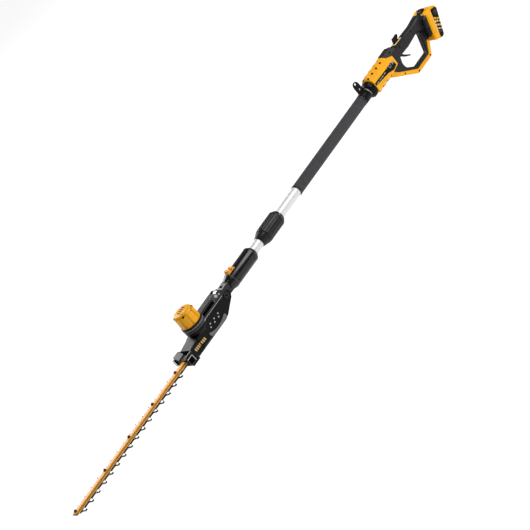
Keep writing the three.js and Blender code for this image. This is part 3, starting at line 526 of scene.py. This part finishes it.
class Piece:
    """One named object put together from small solids, each with its own finish."""

    def __init__(self, name, body):
        self.name = name
        self.body = body
        self.mesh = bmesh.new()
        self.finishes = []

    def add(self, solid, place, finish):
        """Takes in one solid, moved from its own millimetres to its place."""
        if finish not in self.finishes:
            self.finishes.append(finish)
        for face in solid.faces:
            face.material_index = self.finishes.index(finish)
            face.smooth = True
        solid.transform(place)
        if place.determinant() < 0:
            bmesh.ops.reverse_faces(solid, faces=solid.faces)
        carried = bpy.data.meshes.new("carried")
        solid.to_mesh(carried)
        solid.free()
        self.mesh.from_mesh(carried)
        bpy.data.meshes.remove(carried)

    def done(self):
        """Makes the object and lets it ride its body."""
        data = bpy.data.meshes.new(self.name)
        self.mesh.to_mesh(data)
        self.mesh.free()
        for finish in self.finishes:
            data.materials.append(finish.material)
        data.set_sharp_from_angle(angle=math.radians(38))
        made = bpy.data.objects.new(self.name, data)
        bpy.context.scene.collection.objects.link(made)
        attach(made, self.body)


SCREW_LIP = ((1.35, -SUNK), (1.35, 0.2), (1.22, 0.42), (1.0, 0.42), (1.0, 0.1), (0.1, 0.1))
SCREW_HEAD = ((0.6, 0.0), (0.6, 0.2), (0.48, 0.3), (0.1, 0.3))
WELL_LIP = ((1.22, -SUNK), (1.22, 0.1), (1.14, 0.32), (1.0, 0.32), (0.97, 0.06), (0.1, 0.06))


def add_screw(piece, point, normal, radius, boss):
    """A case screw in its round well, with a six-sided socket; the well's floor and the socket are
    near-black shapes of painted shade.
    """
    place = stand(point, normal)
    piece.add(scaled(SCREW_LIP, radius), place, boss)
    piece.add(disc(radius * 0.98, -SUNK, 0.14), place, DARK)
    piece.add(scaled(SCREW_HEAD, radius), place, BLACK)
    piece.add(slab(hexagon(radius * 0.6), 0.27, 0.33), place, DARK)


def add_well(piece, point, normal, radius, rim):
    """A round blind hole: a raised rim round a near-black disc of painted shade."""
    place = stand(point, normal)
    piece.add(scaled(WELL_LIP, radius), place, rim)
    piece.add(disc(radius * 0.98, -SUNK, 0.14), place, DARK)


def add_print(piece, outline, node, x, z, side):
    """A thin printed shape on a side face of a CAD node."""
    point, normal = land(node, at(x, 0, z), outward(side))
    piece.add(slab(outline, -0.05, 0.07), stand(point, normal), INK)


# ---- rear handle --------------------------------------------------------------------------

# Screws in each half: the node, the station and height, and the plastic round the well.
HANDLE_SCREWS = (
    ("grip_shell", 1836, 29, SOFT_BLACK),
    ("grip_shell", 1882, 11, SOFT_BLACK),
    ("grip_shell", 1953, 13, SOFT_BLACK),
    ("grip_shell", 2006, -30, SOFT_BLACK),
    ("front_housing", 1838, -63, YELLOW),
    ("front_housing", 1888, -98, YELLOW),
    ("front_housing", 1961, -97, YELLOW),
)
HANDLE_SCREW_RADIUS = 3.3

# Each row of wells: first station, pitch, distance from the middle, height and the way it faces.
WELL_ROWS = ((1711, 24.6, 13.2, 32, (13, 18)), (1709, 25, 19.5, -22.5, (12, -12)))
WELLS_IN_ROW = 4
WELL_RADIUS = 4.0

# The side panel's bars, as station and width, then its ring and its two strokes.
PANEL_BARS = ((1722, 12), (1737, 9), (1750, 11), (1764, 8))
PANEL_RING_X = 1797
PANEL_STROKES = (1811, 1815)
PANEL_RING = ((5.6, -0.1), (5.6, 0.25), (4.6, 0.25), (4.6, 0.05), (HUB, 0.05))

STRIP_RIBS = 17
STRIP_RIB_PITCH = 4.0
STRIP_RIB_X = 1893.5
STRIP_HALF = 9.9

LEVER_RIB_X = 1893.5
LEVER_RIBS = 5
TRIGGER_RIB_X = 1871
TRIGGER_RIBS = 6

LOOP_SEAM = ((1824.5, -44.2), (1891.1, -91.3), (1961.9, -91.3), (1982.4, -63.0))


def handle_screws(name, side):
    """Case screws down one side of the grip and the loop."""
    piece = Piece(f"handle_screws_{name}", "handle")
    for node, x, z, boss in HANDLE_SCREWS:
        point, normal = land(f"{node}_{name}", at(x, 0, z), outward(side))
        add_screw(piece, point, normal, HANDLE_SCREW_RADIUS, boss)
    piece.done()


def housing_wells(name, side):
    """Two rows of four blind holes along the housing's sloping edges."""
    piece = Piece(f"housing_wells_{name}", "handle")
    for number in range(WELLS_IN_ROW):
        for first, pitch, y, z, (across, rise) in WELL_ROWS:
            out = Vector((0, side * across, rise)).normalized()
            spot = at(first + pitch * number, side * y, z)
            point, normal = land(f"front_housing_{name}", spot, out)
            add_well(piece, point, normal, WELL_RADIUS, YELLOW)
    piece.done()


def panel_marks(name, side):
    """Plain bars and a ring on the black side panel."""
    piece = Piece(f"panel_marks_{name}", "handle")
    node = f"side_panel_{name}"
    for x, width in PANEL_BARS:
        add_print(piece, rounded(width, 2.0, 0.8), node, x, 3.4, side)
    point, normal = land(node, at(PANEL_RING_X, 0, 5), outward(side))
    place = stand(point, normal)
    piece.add(turned(PANEL_RING), place, INK)
    piece.add(disc(4.5, -0.1, 0.12), place, BLACK)
    for x in PANEL_STROKES:
        add_print(piece, rounded(2, 9, 0.8), node, x, 5, side)
    piece.done()


def strip_ribs(name, side):
    """Fine grip ribs on the loop strip's lowest stretch."""
    piece = Piece(f"strip_ribs_{name}", "handle")
    for number in range(STRIP_RIBS):
        spot = at(STRIP_RIB_X + STRIP_RIB_PITCH * number, side * STRIP_HALF, -98)
        piece.add(bead(1.5, 8.0, 0.5, 0.6), stand(spot, outward(side)), YELLOW)
    piece.done()


def loop_seam():
    """Dark tongue that closes the seam between the loop's yellow strip and its black ring."""
    piece = Piece("loop_seam", "handle")
    for (x0, z0), (x1, z1) in zip(LOOP_SEAM, LOOP_SEAM[1:]):
        run = Vector((x1 - x0, 0, z1 - z0))
        half = run.length / 2
        place = stand(at((x0 + x1) / 2, 0, (z0 + z1) / 2), run, RIGHT)
        piece.add(slab(rounded(14, 0.3, 0.1, 1), -half, half), place, DARK)
    piece.done()


def lever_ribs():
    """Ribs on the lock-off lever's pad."""
    piece = Piece("lock_off_ribs", "lock_off")
    for number in range(LEVER_RIBS):
        point, normal = land("lock_off_lever", at(LEVER_RIB_X + 4.5 * number, 0, 10), UP)
        piece.add(bead(1.3, 10, 0.7, 0.5), stand(point, normal), BLACK)
    piece.done()


def trigger_ribs():
    """Ribs on the trigger's face."""
    piece = Piece("trigger_face", "trigger")
    for number in range(TRIGGER_RIBS):
        point, normal = land("trigger", at(TRIGGER_RIB_X + 4.2 * number, 0, 0), -UP)
        piece.add(bead(1.2, 9, 0.45, 0.5), stand(point, normal), BLACK)
    piece.done()


for name, side in SIDES:
    handle_screws(name, side)
    housing_wells(name, side)
    panel_marks(name, side)
    strip_ribs(name, side)
loop_seam()
lever_ribs()
trigger_ribs()

# ---- battery ------------------------------------------------------------------------------

# The scattered shapes on the pack's sides: place out and up the pack, width, depth and finish.
BADGE = (
    (29.5, 15.5, 11, 5, YELLOW),
    (41, 12, 8, 4.5, YELLOW),
    (26.5, 5, 6, 8, YELLOW),
    (35, 4.5, 6, 7, INK),
    (43.5, 1, 5, 6, YELLOW),
    (23.5, -6.5, 6.5, 7.5, YELLOW),
    (32, -8, 7, 6.5, INK),
    (40.5, -10.5, 6.5, 6, YELLOW),
    (22.5, -17.5, 7, 6, INK),
    (31, -20, 7, 5, YELLOW),
    (39, -22.5, 5.5, 4.5, INK),
    (28, -28, 7, 3.5, GREY),
    (36.5, -31.5, 6, 3, GREY),
)

# The pack's rear face leans out by this much for each millimetre up.
REAR_LEAN = 0.152
REAR_RIB_PITCH = 3.2


def battery_side(name, side):
    """The raised block, the plain scattered shapes and the crease on each side of the pack, the crease's
    line lightened to cream as painted highlight.
    """
    piece = Piece(f"battery_side_{name}", "battery")

    def flat(out, up):
        """A place on this side of the pack, its X axis along the pack's depth."""
        return stand(on_pack(out, side * PACK_HALF, up), outward(side), PACK_OUT)

    block = flat(38, 35) @ Matrix.Rotation(math.radians(-8 * side), 4, "Z")
    lean = Matrix.Rotation(math.radians(24 * side), 4, "Z")
    piece.add(bead(22, 24, 0.9, 4), block, BLACK)
    piece.add(bead(15, 16, 1.2, 3), block, GLOSS)
    for out, up, width, depth, finish in BADGE:
        piece.add(slab(rounded(width, depth, 0.9), -0.1, 0.12), flat(out, up) @ lean, finish)
    for number in range(3):
        piece.add(bead(13, 1.6, 0.6, 0.7), flat(11, -30 + 5 * number), YELLOW)
    # Cream line on the crease: painted highlight.
    piece.add(bead(1.3, 76, 0.4, 0.5), flat(19.5, 4), CREAM)
    piece.done()


def button_ribs():
    """Ribs on the pack's release button."""
    piece = Piece("button_ribs", "battery_button")
    for number in range(5):
        place = stand(on_pack(8.5 + 3 * number, 0, 57), PACK_UP, PACK_OUT)
        piece.add(bead(1.4, 21, 0.8, 0.6), place, BLACK)
    piece.done()


def battery_marks():
    """Red latch marks by the button, and the charge lights and vents on the rear face, the vents drawn as
    near-black bars of painted shade.
    """
    piece = Piece("battery_marks", "battery")
    for _, side in SIDES:
        place = stand(on_pack(2.2, side * 20, 41), PACK_UP - PACK_OUT, PACK_OUT)
        piece.add(bead(3.6, 5, 0.5, 0.9), place, RED)
        piece.add(bead(0.9, 5.4, 0.7, 0.3), place @ Matrix.Translation((-2.4, 0, 0)), PALE)
    across = Vector((79, 0, -12)).normalized()
    out = PACK_OUT * across.x + PACK_UP * across.z
    up = PACK_UP * across.x - PACK_OUT * across.z
    for number in range(4):
        place = stand(on_pack(47.8, -9 + 6 * number, 0), out, up)
        piece.add(bead(2.4, 3.4, 0.5, 0.9), place, INK if number else GREY)
    piece.add(bead(9, 34, 0.3, 3), stand(on_pack(47.8, 0, 0), out, up), GLOSS)
    # Vents: near-black bars of painted shade.
    for number in range(6):
        rise = REAR_RIB_PITCH * number
        place = stand(on_pack(44.4 + REAR_LEAN * rise, 0, -24 + rise), out, up)
        piece.add(bead(1.3, 42, 0.5, 0.6), place, DARK)
    piece.done()


for name, side in SIDES:
    battery_side(name, side)
button_ribs()
battery_marks()

# ---- pole ---------------------------------------------------------------------------------

FOAM_ENDS = (1252.5, 1647.5)
FOAM_LIP = ((18.6, -2.5), (19.1, -1.6), (19.1, 1.6), (18.6, 2.5))
RIVET = ((3.2, -0.3), (3.2, 0.5), (2.5, 1.1), (1.2, 1.35), (HUB, 1.38))
NUT_X = 1698
NUT_RADIUS = 27.3
NUT_RIBS = 24


def foam_lips():
    """Rolled lips at the foam sleeve's ends."""
    piece = Piece("foam_lips", "handle")
    for x in FOAM_ENDS:
        piece.add(turned(FOAM_LIP, 40), stand(at(x, 0, 0), BACK, UP), SOFT_BLACK)
    piece.done()


def bracket_rivet():
    """The rivet through the hanging bracket."""
    piece = Piece("bracket_rivet", "handle")
    for _, side in SIDES:
        place = stand(at(1668.5, side * 2.2, 30), outward(side))
        piece.add(turned(RIVET), place, STEEL)
    piece.done()


def nut_ribs():
    """Grip ribs round the clamp nut."""
    piece = Piece("clamp_nut_ribs", "handle")
    for number in range(NUT_RIBS):
        angle = 2 * math.pi * number / NUT_RIBS
        out = Vector((0, math.cos(angle), math.sin(angle)))
        place = stand(at(NUT_X, 0, 0) + out * NUT_RADIUS / 1000, out)
        piece.add(bead(11, 2.2, 0.9, 0.9), place, BLACK)
    piece.done()


foam_lips()
bracket_rivet()
nut_ribs()

# ---- head ---------------------------------------------------------------------------------

CHEEK_HALF = 26.9
LATCH_BOSS = ((5.6, -1.5), (5.6, 0.9), (5.0, 1.4), (3.8, 1.4), (3.4, 1.0), (0.3, 1.0))
LATCH_STUD = ((2.9, -1.5), (2.9, 0.7), (2.3, 1.1), (0.3, 1.1))
# A pale dome in each vent: painted highlight.
VENT_HIGHLIGHT = ((2.7, -0.6), (2.7, 0.6), (2.2, 0.9), (HUB, 0.9))
PIVOT_CAP = ((5.4, -0.2), (5.4, 0.3), (4.8, 0.6), (HUB, 0.6))
CHEEK_SCREWS = ((649, -33), (758, 4), (771, -37))
VENT_PAIR = ((703, -21.5), (709, -12.5))
VENT_PITCH = 21
NECK_BARS = 7
NECK_BAR_PITCH = 7.4

# The two rolled rings of the motor's seat, as radius and height, and a ring's section.
SEAT_RINGS = ((38.1, 13), (36.8, 26.6))
RING_SECTION = ((-1.6, -0.9), (-0.3, -0.7), (0, 0), (-0.3, 0.7), (-1.6, 0.9))
SEAT_FACETS = 24
FACET_RADIUS = 37.7
FACET_Z = 21.5

CAP_TOP = 77
CAP_SCREWS = (228, 318, 48, 138)
VENT_RIBS = (-16, -8, 0, 8, 16)
VENT_SLOTS = (-12, -4, 4, 12)

# The bars that frame the guard's outer panel: station, height, width, depth and finish; pale on the top
# and rear bars as painted highlight, grey on the front and bottom bars as painted shade.
GUARD_FRAME_LIT_AND_SHADED = (
    (579, -17.8, 24, 2.4, PALE),
    (590.3, -28, 2.4, 22, PALE),
    (567.8, -28, 1.6, 21, GREY),
    (579, -38.4, 23, 1.6, GREY),
)
GUARD_RIBS = 4
GUARD_RIB_PITCH = 5.4


def add_run(piece, points, out, width, height, finish):
    """A thin moulded line through points, standing out of a surface."""
    for start, end in zip(points, points[1:]):
        run = end - start
        line = bead(run.length * 1000 + 0.6 * width, width, height, 0.45 * width)
        piece.add(line, stand((start + end) / 2, out, run), finish)


def latch(piece, shell, side):
    """Latch pad and two studs beside the hinge; on the shoulder a pale line as painted highlight, and a
    dark strip as painted shade of its groove with a pale end mark as painted highlight.
    """
    out = outward(side)
    slope = Vector((0, side * 17, 13)).normalized()
    point, normal = land(shell, at(779, side * 19, 21), slope)
    piece.add(bead(19, 12, 0.9, 3), stand(point, normal), GREY)
    piece.add(turned(LATCH_BOSS), stand(at(788, side * 19.4, 21.6), slope), PALE)
    piece.add(turned(LATCH_STUD), stand(at(799.5, side * 21.6, 18.6), slope), PALE)
    # Pale line along the shoulder's edge: painted highlight.
    line = [land(shell, at(x, 0, 10), out)[0] for x in range(692, 812, 12)]
    add_run(piece, line, out, 1.3, 0.8, PALE)
    # Near-black strip: painted shade in the shoulder's groove; pale mark at its end: painted highlight.
    point, normal = land(shell, at(715, side * 22, 19), slope)
    middle = point + BACK * 0.022
    piece.add(bead(66, 9.5, 0.3, 1.5), stand(middle, normal), DARK)
    piece.add(bead(1.3, 9.5, 0.8, 0.5), stand(middle + BACK * 0.0335, normal), PALE)


def vents(piece, side):
    """Six vents, in three pairs, low on the cheek: near-black discs as painted shade of the holes, and
    pale domes in them as painted highlight.
    """
    for number in range(3):
        for x, z in VENT_PAIR:
            place = stand(at(x + VENT_PITCH * number, side * CHEEK_HALF, z), outward(side))
            piece.add(disc(4.1, -0.6, 0.3), place, DARK)
            piece.add(turned(VENT_HIGHLIGHT), place, PALE)


def neck_bars(piece, shell, side):
    """A row of plain slanting bars on the neck."""
    slant = Matrix.Rotation(math.radians(-12 * side), 4, "Z")
    for number in range(NECK_BARS):
        spot = at(617.7 + NECK_BAR_PITCH * number, 0, -26.5)
        point, normal = land(shell, spot, outward(side))
        piece.add(slab(rounded(4.6, 11, 1.2), -0.05, 0.12), stand(point, normal) @ slant, TAN_INK)


def cheek_details(name, side):
    """Latch, vents, screws, plain bars and the hinge pin's cap on one cheek of the head."""
    shell = f"head_shell_{name}"
    piece = Piece(f"cheek_details_{name}", "head")
    latch(piece, shell, side)
    vents(piece, side)
    for x, z in CHEEK_SCREWS:
        point, normal = land(shell, at(x, 0, z), outward(side))
        add_screw(piece, point, normal, 2.4, BLACK)
    neck_bars(piece, shell, side)
    place = stand(at(PIVOT_X, side * 30.5, 0), outward(side))
    piece.add(turned(PIVOT_CAP), place, BLACK)
    # The pin's hex socket: a near-black hexagon of painted shade.
    piece.add(slab(hexagon(5.6), 0.58, 0.66), place, DARK)
    piece.done()


def motor_seat():
    """Facets and rings round the base that the yellow cap stands on."""
    piece = Piece("motor_seat_rings", "head")
    for radius, height in SEAT_RINGS:
        profile = [(radius + grow, height + rise) for grow, rise in RING_SECTION]
        piece.add(turned(profile, 48), stand(at(CAP_X, 0, 0), UP), MIDDLE)
    for number in range(SEAT_FACETS):
        angle = 2 * math.pi * number / SEAT_FACETS
        out = Vector((math.cos(angle), math.sin(angle), 0))
        place = stand(at(CAP_X, 0, FACET_Z) + out * FACET_RADIUS / 1000, out, UP)
        piece.add(bead(5.6, 8.4, 0.6, 1.0), place, MIDDLE)
    piece.done()


def cap_details():
    """Screw wells on the cap's rim, and the ribs and slots of its vent, each slot darkened by a sunk
    near-black sheet of painted shade.
    """
    piece = Piece("cap_screws", "head")
    for degrees in CAP_SCREWS:
        angle = math.radians(degrees)
        out = Vector((math.cos(angle), math.sin(angle), 0))
        point, normal = land("motor_cap", at(CAP_X, 0, 69.5), out)
        add_screw(piece, point, (normal + UP * 0.4).normalized(), 5.0, YELLOW)
    for offset in VENT_RIBS:
        piece.add(bead(2.2, 32, 0.7, 1), stand(at(CAP_X + offset, 0, CAP_TOP), UP), YELLOW)
    for offset in VENT_SLOTS:
        place = stand(at(CAP_X + offset, 0, CAP_TOP), UP)
        # A near-black sheet sunk in the slot: painted shade.
        piece.add(slab(rounded(3.4, 33, 0.5), -3.4, -1.6), place, DARK)
        for end in (-13.5, 13.5):
            fill = slab(rounded(5.8, 7, 0.8), -1.4, 0.1)
            piece.add(fill, place @ Matrix.Translation((0, end, 0)), YELLOW)
    piece.done()


def guard_details(name, side):
    """The ribbed pad inside one wing of the guard, and outside it a panel framed by bars painted lit and
    shaded, round a near-black pad of painted shade.
    """
    piece = Piece(f"guard_details_{name}", "head")
    slope = Vector((0, -side * 14, 22.5)).normalized()
    across = Vector((0, side * 22.5, 14)).normalized()
    middle = at(585.5, side * 24.6, -15.0)
    piece.add(bead(27, 22, 0.7, 2), stand(middle, slope), PALE)
    for number in range(GUARD_RIBS):
        shift = (number - (GUARD_RIBS - 1) / 2) * GUARD_RIB_PITCH
        piece.add(bead(24.5, 3.6, 1.5, 1.2), stand(middle + across * shift / 1000, slope), PALE)
    for x, z, width, depth, finish in GUARD_FRAME_LIT_AND_SHADED:
        place = stand(at(x, side * 37.6, z), outward(side))
        piece.add(bead(width, depth, 1.6, 0.7), place, finish)
    # Near-black pad inside the frame: painted shade of the panel's recess.
    piece.add(bead(19, 17.5, 0.3, 0.8), stand(at(579, side * 36.3, -28), outward(side)), DARK)
    piece.done()


for name, side in SIDES:
    cheek_details(name, side)
    guard_details(name, side)
motor_seat()
cap_details()

# ---- connector and coupling ---------------------------------------------------------------

CONNECTOR_RIMS = (873, 981)
RIM_SECTION = ((25.2, -1.2), (26.0, -0.8), (26.0, 0.8), (25.2, 1.2))
CONNECTOR_SCREWS = (884, 968)
COLLAR_ARROWS = (-62, 118)
SLIDE_RIBS = ((880, 33.6), (884.5, 33.9), (897, 30.6), (901, 30.9))


def connector_details():
    """Rims and screws on the connector."""
    piece = Piece("connector_details", "front_pole")
    for x in CONNECTOR_RIMS:
        piece.add(turned(RIM_SECTION, 48), stand(at(x, 0, 0), BACK, UP), GREY)
    for _, side in SIDES:
        for x in CONNECTOR_SCREWS:
            out = Vector((0, side, -0.35)).normalized()
            point, normal = land("connector_body", at(x, 0, 0), out)
            add_screw(piece, point, normal, 2.4, GLOSS)
    piece.done()


def collar_marks():
    """An arrow on each side of the collar's rear slope."""
    piece = Piece("collar_marks", "collar")
    for degrees in COLLAR_ARROWS:
        angle = math.radians(degrees)
        out = Vector((0, math.sin(angle), math.cos(angle)))
        place = stand(at(1138, 0, 0) + out * 0.0237, out + BACK * 0.55)
        piece.add(slab([(-2, -3), (3, 0), (-2, 3)], -0.6, 0.25), place, INK)
    piece.done()


def slide_ribs():
    """Ribs on the release slide's two lobes, and a dark red strip between them as painted shade."""
    piece = Piece("release_ribs", "release")
    for x, z in SLIDE_RIBS:
        piece.add(bead(1.4, 15, 0.9, 0.6), stand(at(x, 0, z), UP), ORANGE)
    # Dark red strip between the lobes: painted shade.
    piece.add(bead(2.6, 18, 0.5, 0.8), stand(at(890.5, 0, 25), UP), RED)
    piece.done()


connector_details()
collar_marks()
slide_ribs()

# ---- blade --------------------------------------------------------------------------------

TOOTH_PITCH = 33.3
STRIP_WIDTH = 2.0
BLADE_LEVEL = 1000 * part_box("blade_upper")[1].z + FLOOR_Z

# Both flanks of a tooth: station of its root and of its tip from the tooth's middle, and its lean.
FLANKS = ((-7.4, -4.2, 1), (7.9, 1.7, -1))
ROOT_Y = 15.5
TIP_Y = 30.2

BAR_NOSE = ((-2.2, -12), (1.6, -14), (5, -14), (5, 14), (1.6, 14), (-2.2, 12))
BAR_STRIP = 580
BAR_MIDDLE = 305


def bar_tip():
    """The guide bar's dark blunt nose, strips of painted highlight on its flanges and strips of painted
    shade on its web.
    """
    piece = Piece("bar_tip", "head")
    piece.add(slab(BAR_NOSE, -34.2, -31.9), stand(at(2, 0, 0), UP), BLACKENED)
    for _, side in SIDES:
        # Painted highlight strip on the flange, painted shade strip on the web.
        lit = stand(at(BAR_MIDDLE, side * 12.1, -32.05), UP)
        piece.add(slab(rounded(BAR_STRIP, 2.2, 0.3, 1), -0.05, 0.06), lit, BAR_PAINTED_HIGHLIGHT)
        shaded = stand(at(BAR_MIDDLE, side * 9.1, -31.3), Vector((0, side * 5, 2)))
        piece.add(slab(rounded(BAR_STRIP, 2.6, 0.3, 1), -0.05, 0.1), shaded, BAR_PAINTED_SHADE)
    piece.done()


def bolt_sockets():
    """Six-sided sockets in the bar's bolts, drawn as near-black hexagons of painted shade."""
    piece = Piece("bolt_sockets", "head")
    for number in range(1, BOLT_COUNT + 1):
        low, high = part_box(f"bar_bolt_{number}")
        top = Vector(((low.x + high.x) / 2, (low.y + high.y) / 2, high.z))
        piece.add(slab(hexagon(3.4), -0.1, 0.12), stand(top, UP), DARK)
    piece.done()


def tooth_edges(name, side, first, count):
    """Near-black strips along the flanks and tips of one row of teeth as painted shade, and along its
    root line as painted shadow of the guide bar.
    """
    piece = Piece(f"tooth_edges_{name}", "blade_upper")
    for number in range(count):
        middle = first + TOOTH_PITCH * number
        for root, tip, lean in FLANKS:
            run = Vector((tip - root, side * (TIP_Y - ROOT_Y), 0))
            half = run.length / 2
            spot = at(middle + (root + tip) / 2, side * (ROOT_Y + TIP_Y) / 2, BLADE_LEVEL)
            slant = -STRIP_WIDTH * lean * side
            corners = [(-half, 0), (half, 0), (half, 0.7 * slant), (-half, slant)]
            outline = corners if slant > 0 else corners[::-1]
            piece.add(slab(outline, -0.02, 0.05), stand(spot, UP, run), DARK)
        end = stand(at(middle - 1.3, side * 29.3, BLADE_LEVEL), UP)
        piece.add(slab(rounded(5.6, 1.9, 0.5, 2), -0.02, 0.055), end, DARK)
    # The root line: painted shadow beside the guide bar.
    length = TOOTH_PITCH * count
    place = stand(at(first - 14 + length / 2, side * 15.6, BLADE_LEVEL), UP)
    piece.add(slab(rounded(length, 2.8, 0.3, 1), -0.02, 0.06), place, DARK)
    piece.done()


bar_tip()
bolt_sockets()
tooth_edges("left", -1, 26, 16)
tooth_edges("right", 1, 26 + TOOTH_PITCH / 2, 15)

# ---- floor, lights and camera -------------------------------------------------------------

# The floor's half width, and how far it lies under the tool, in metres.
FLOOR_HALF = 30
FLOOR_DROP = 0.0005

TOWARD_CAMERA = Vector((-0.454, -0.80, 0.39)).normalized()
CAMERA_ROLL = math.radians(54.37)
CAMERA_DISTANCE = 6.62
CAMERA_LENS = 150.05

LIGHT_TARGET = Vector((0, 0, 0.1))


def studio_floor():
    """A wide flat floor just under the tool."""
    mesh = bmesh.new()
    corners = ((-1, -1), (1, -1), (1, 1), (-1, 1))
    mesh.faces.new([mesh.verts.new((x * FLOOR_HALF, y * FLOOR_HALF, -FLOOR_DROP)) for x, y in corners])
    data = bpy.data.meshes.new("studio_floor")
    mesh.to_mesh(data)
    mesh.free()
    data.materials.append(lit_floor())
    floor = bpy.data.objects.new("studio_floor", data)
    bpy.context.scene.collection.objects.link(floor)


def soft_light(name, place, size, power):
    """A round area light that faces the tool."""
    light = bpy.data.lights.new(name, "AREA")
    light.shape = "DISK"
    light.size = size
    light.energy = power
    holder = bpy.data.objects.new(name, light)
    holder.location = place
    holder.rotation_mode = "QUATERNION"
    holder.rotation_quaternion = (LIGHT_TARGET - Vector(place)).to_track_quat("-Z", "Y")
    bpy.context.scene.collection.objects.link(holder)


def studio_world(strength):
    """Even white light from all round."""
    world = bpy.data.worlds.new("studio")
    world.use_nodes = True
    background = world.node_tree.nodes["Background"]
    background.inputs["Color"].default_value = (1.0, 1.0, 1.0, 1.0)
    background.inputs["Strength"].default_value = strength
    bpy.context.scene.world = world


def studio_camera():
    """A long lens from the tool's left front, rolled so that the tool stands up the picture."""
    forward = -TOWARD_CAMERA
    along = (BACK - forward * forward.x).normalized()
    down = forward.cross(along)
    right = along * math.cos(CAMERA_ROLL) + down * math.sin(CAMERA_ROLL)
    upward = along * math.sin(CAMERA_ROLL) - down * math.cos(CAMERA_ROLL)
    target = at(980.8, 0, 0) + down * 0.05355
    camera = bpy.data.cameras.new("studio_camera")
    camera.sensor_width = 36
    camera.lens = CAMERA_LENS
    camera.clip_start = 0.1
    camera.clip_end = 100
    holder = bpy.data.objects.new("studio_camera", camera)
    holder.matrix_world = (
        Matrix.Translation(target + TOWARD_CAMERA * CAMERA_DISTANCE)
        @ Matrix((right, upward, TOWARD_CAMERA)).transposed().to_4x4()
    )
    bpy.context.scene.collection.objects.link(holder)
    bpy.context.scene.camera = holder


studio_floor()
studio_world(0.17)
soft_light("key", (1.62, -1.76, 2.66), 2.4, 88)
soft_light("back", (0.0, 3.06, 1.8), 3.0, 105)
studio_camera()
bpy.context.scene.view_settings.view_transform = "Standard"

bpy.context.view_layer.update()
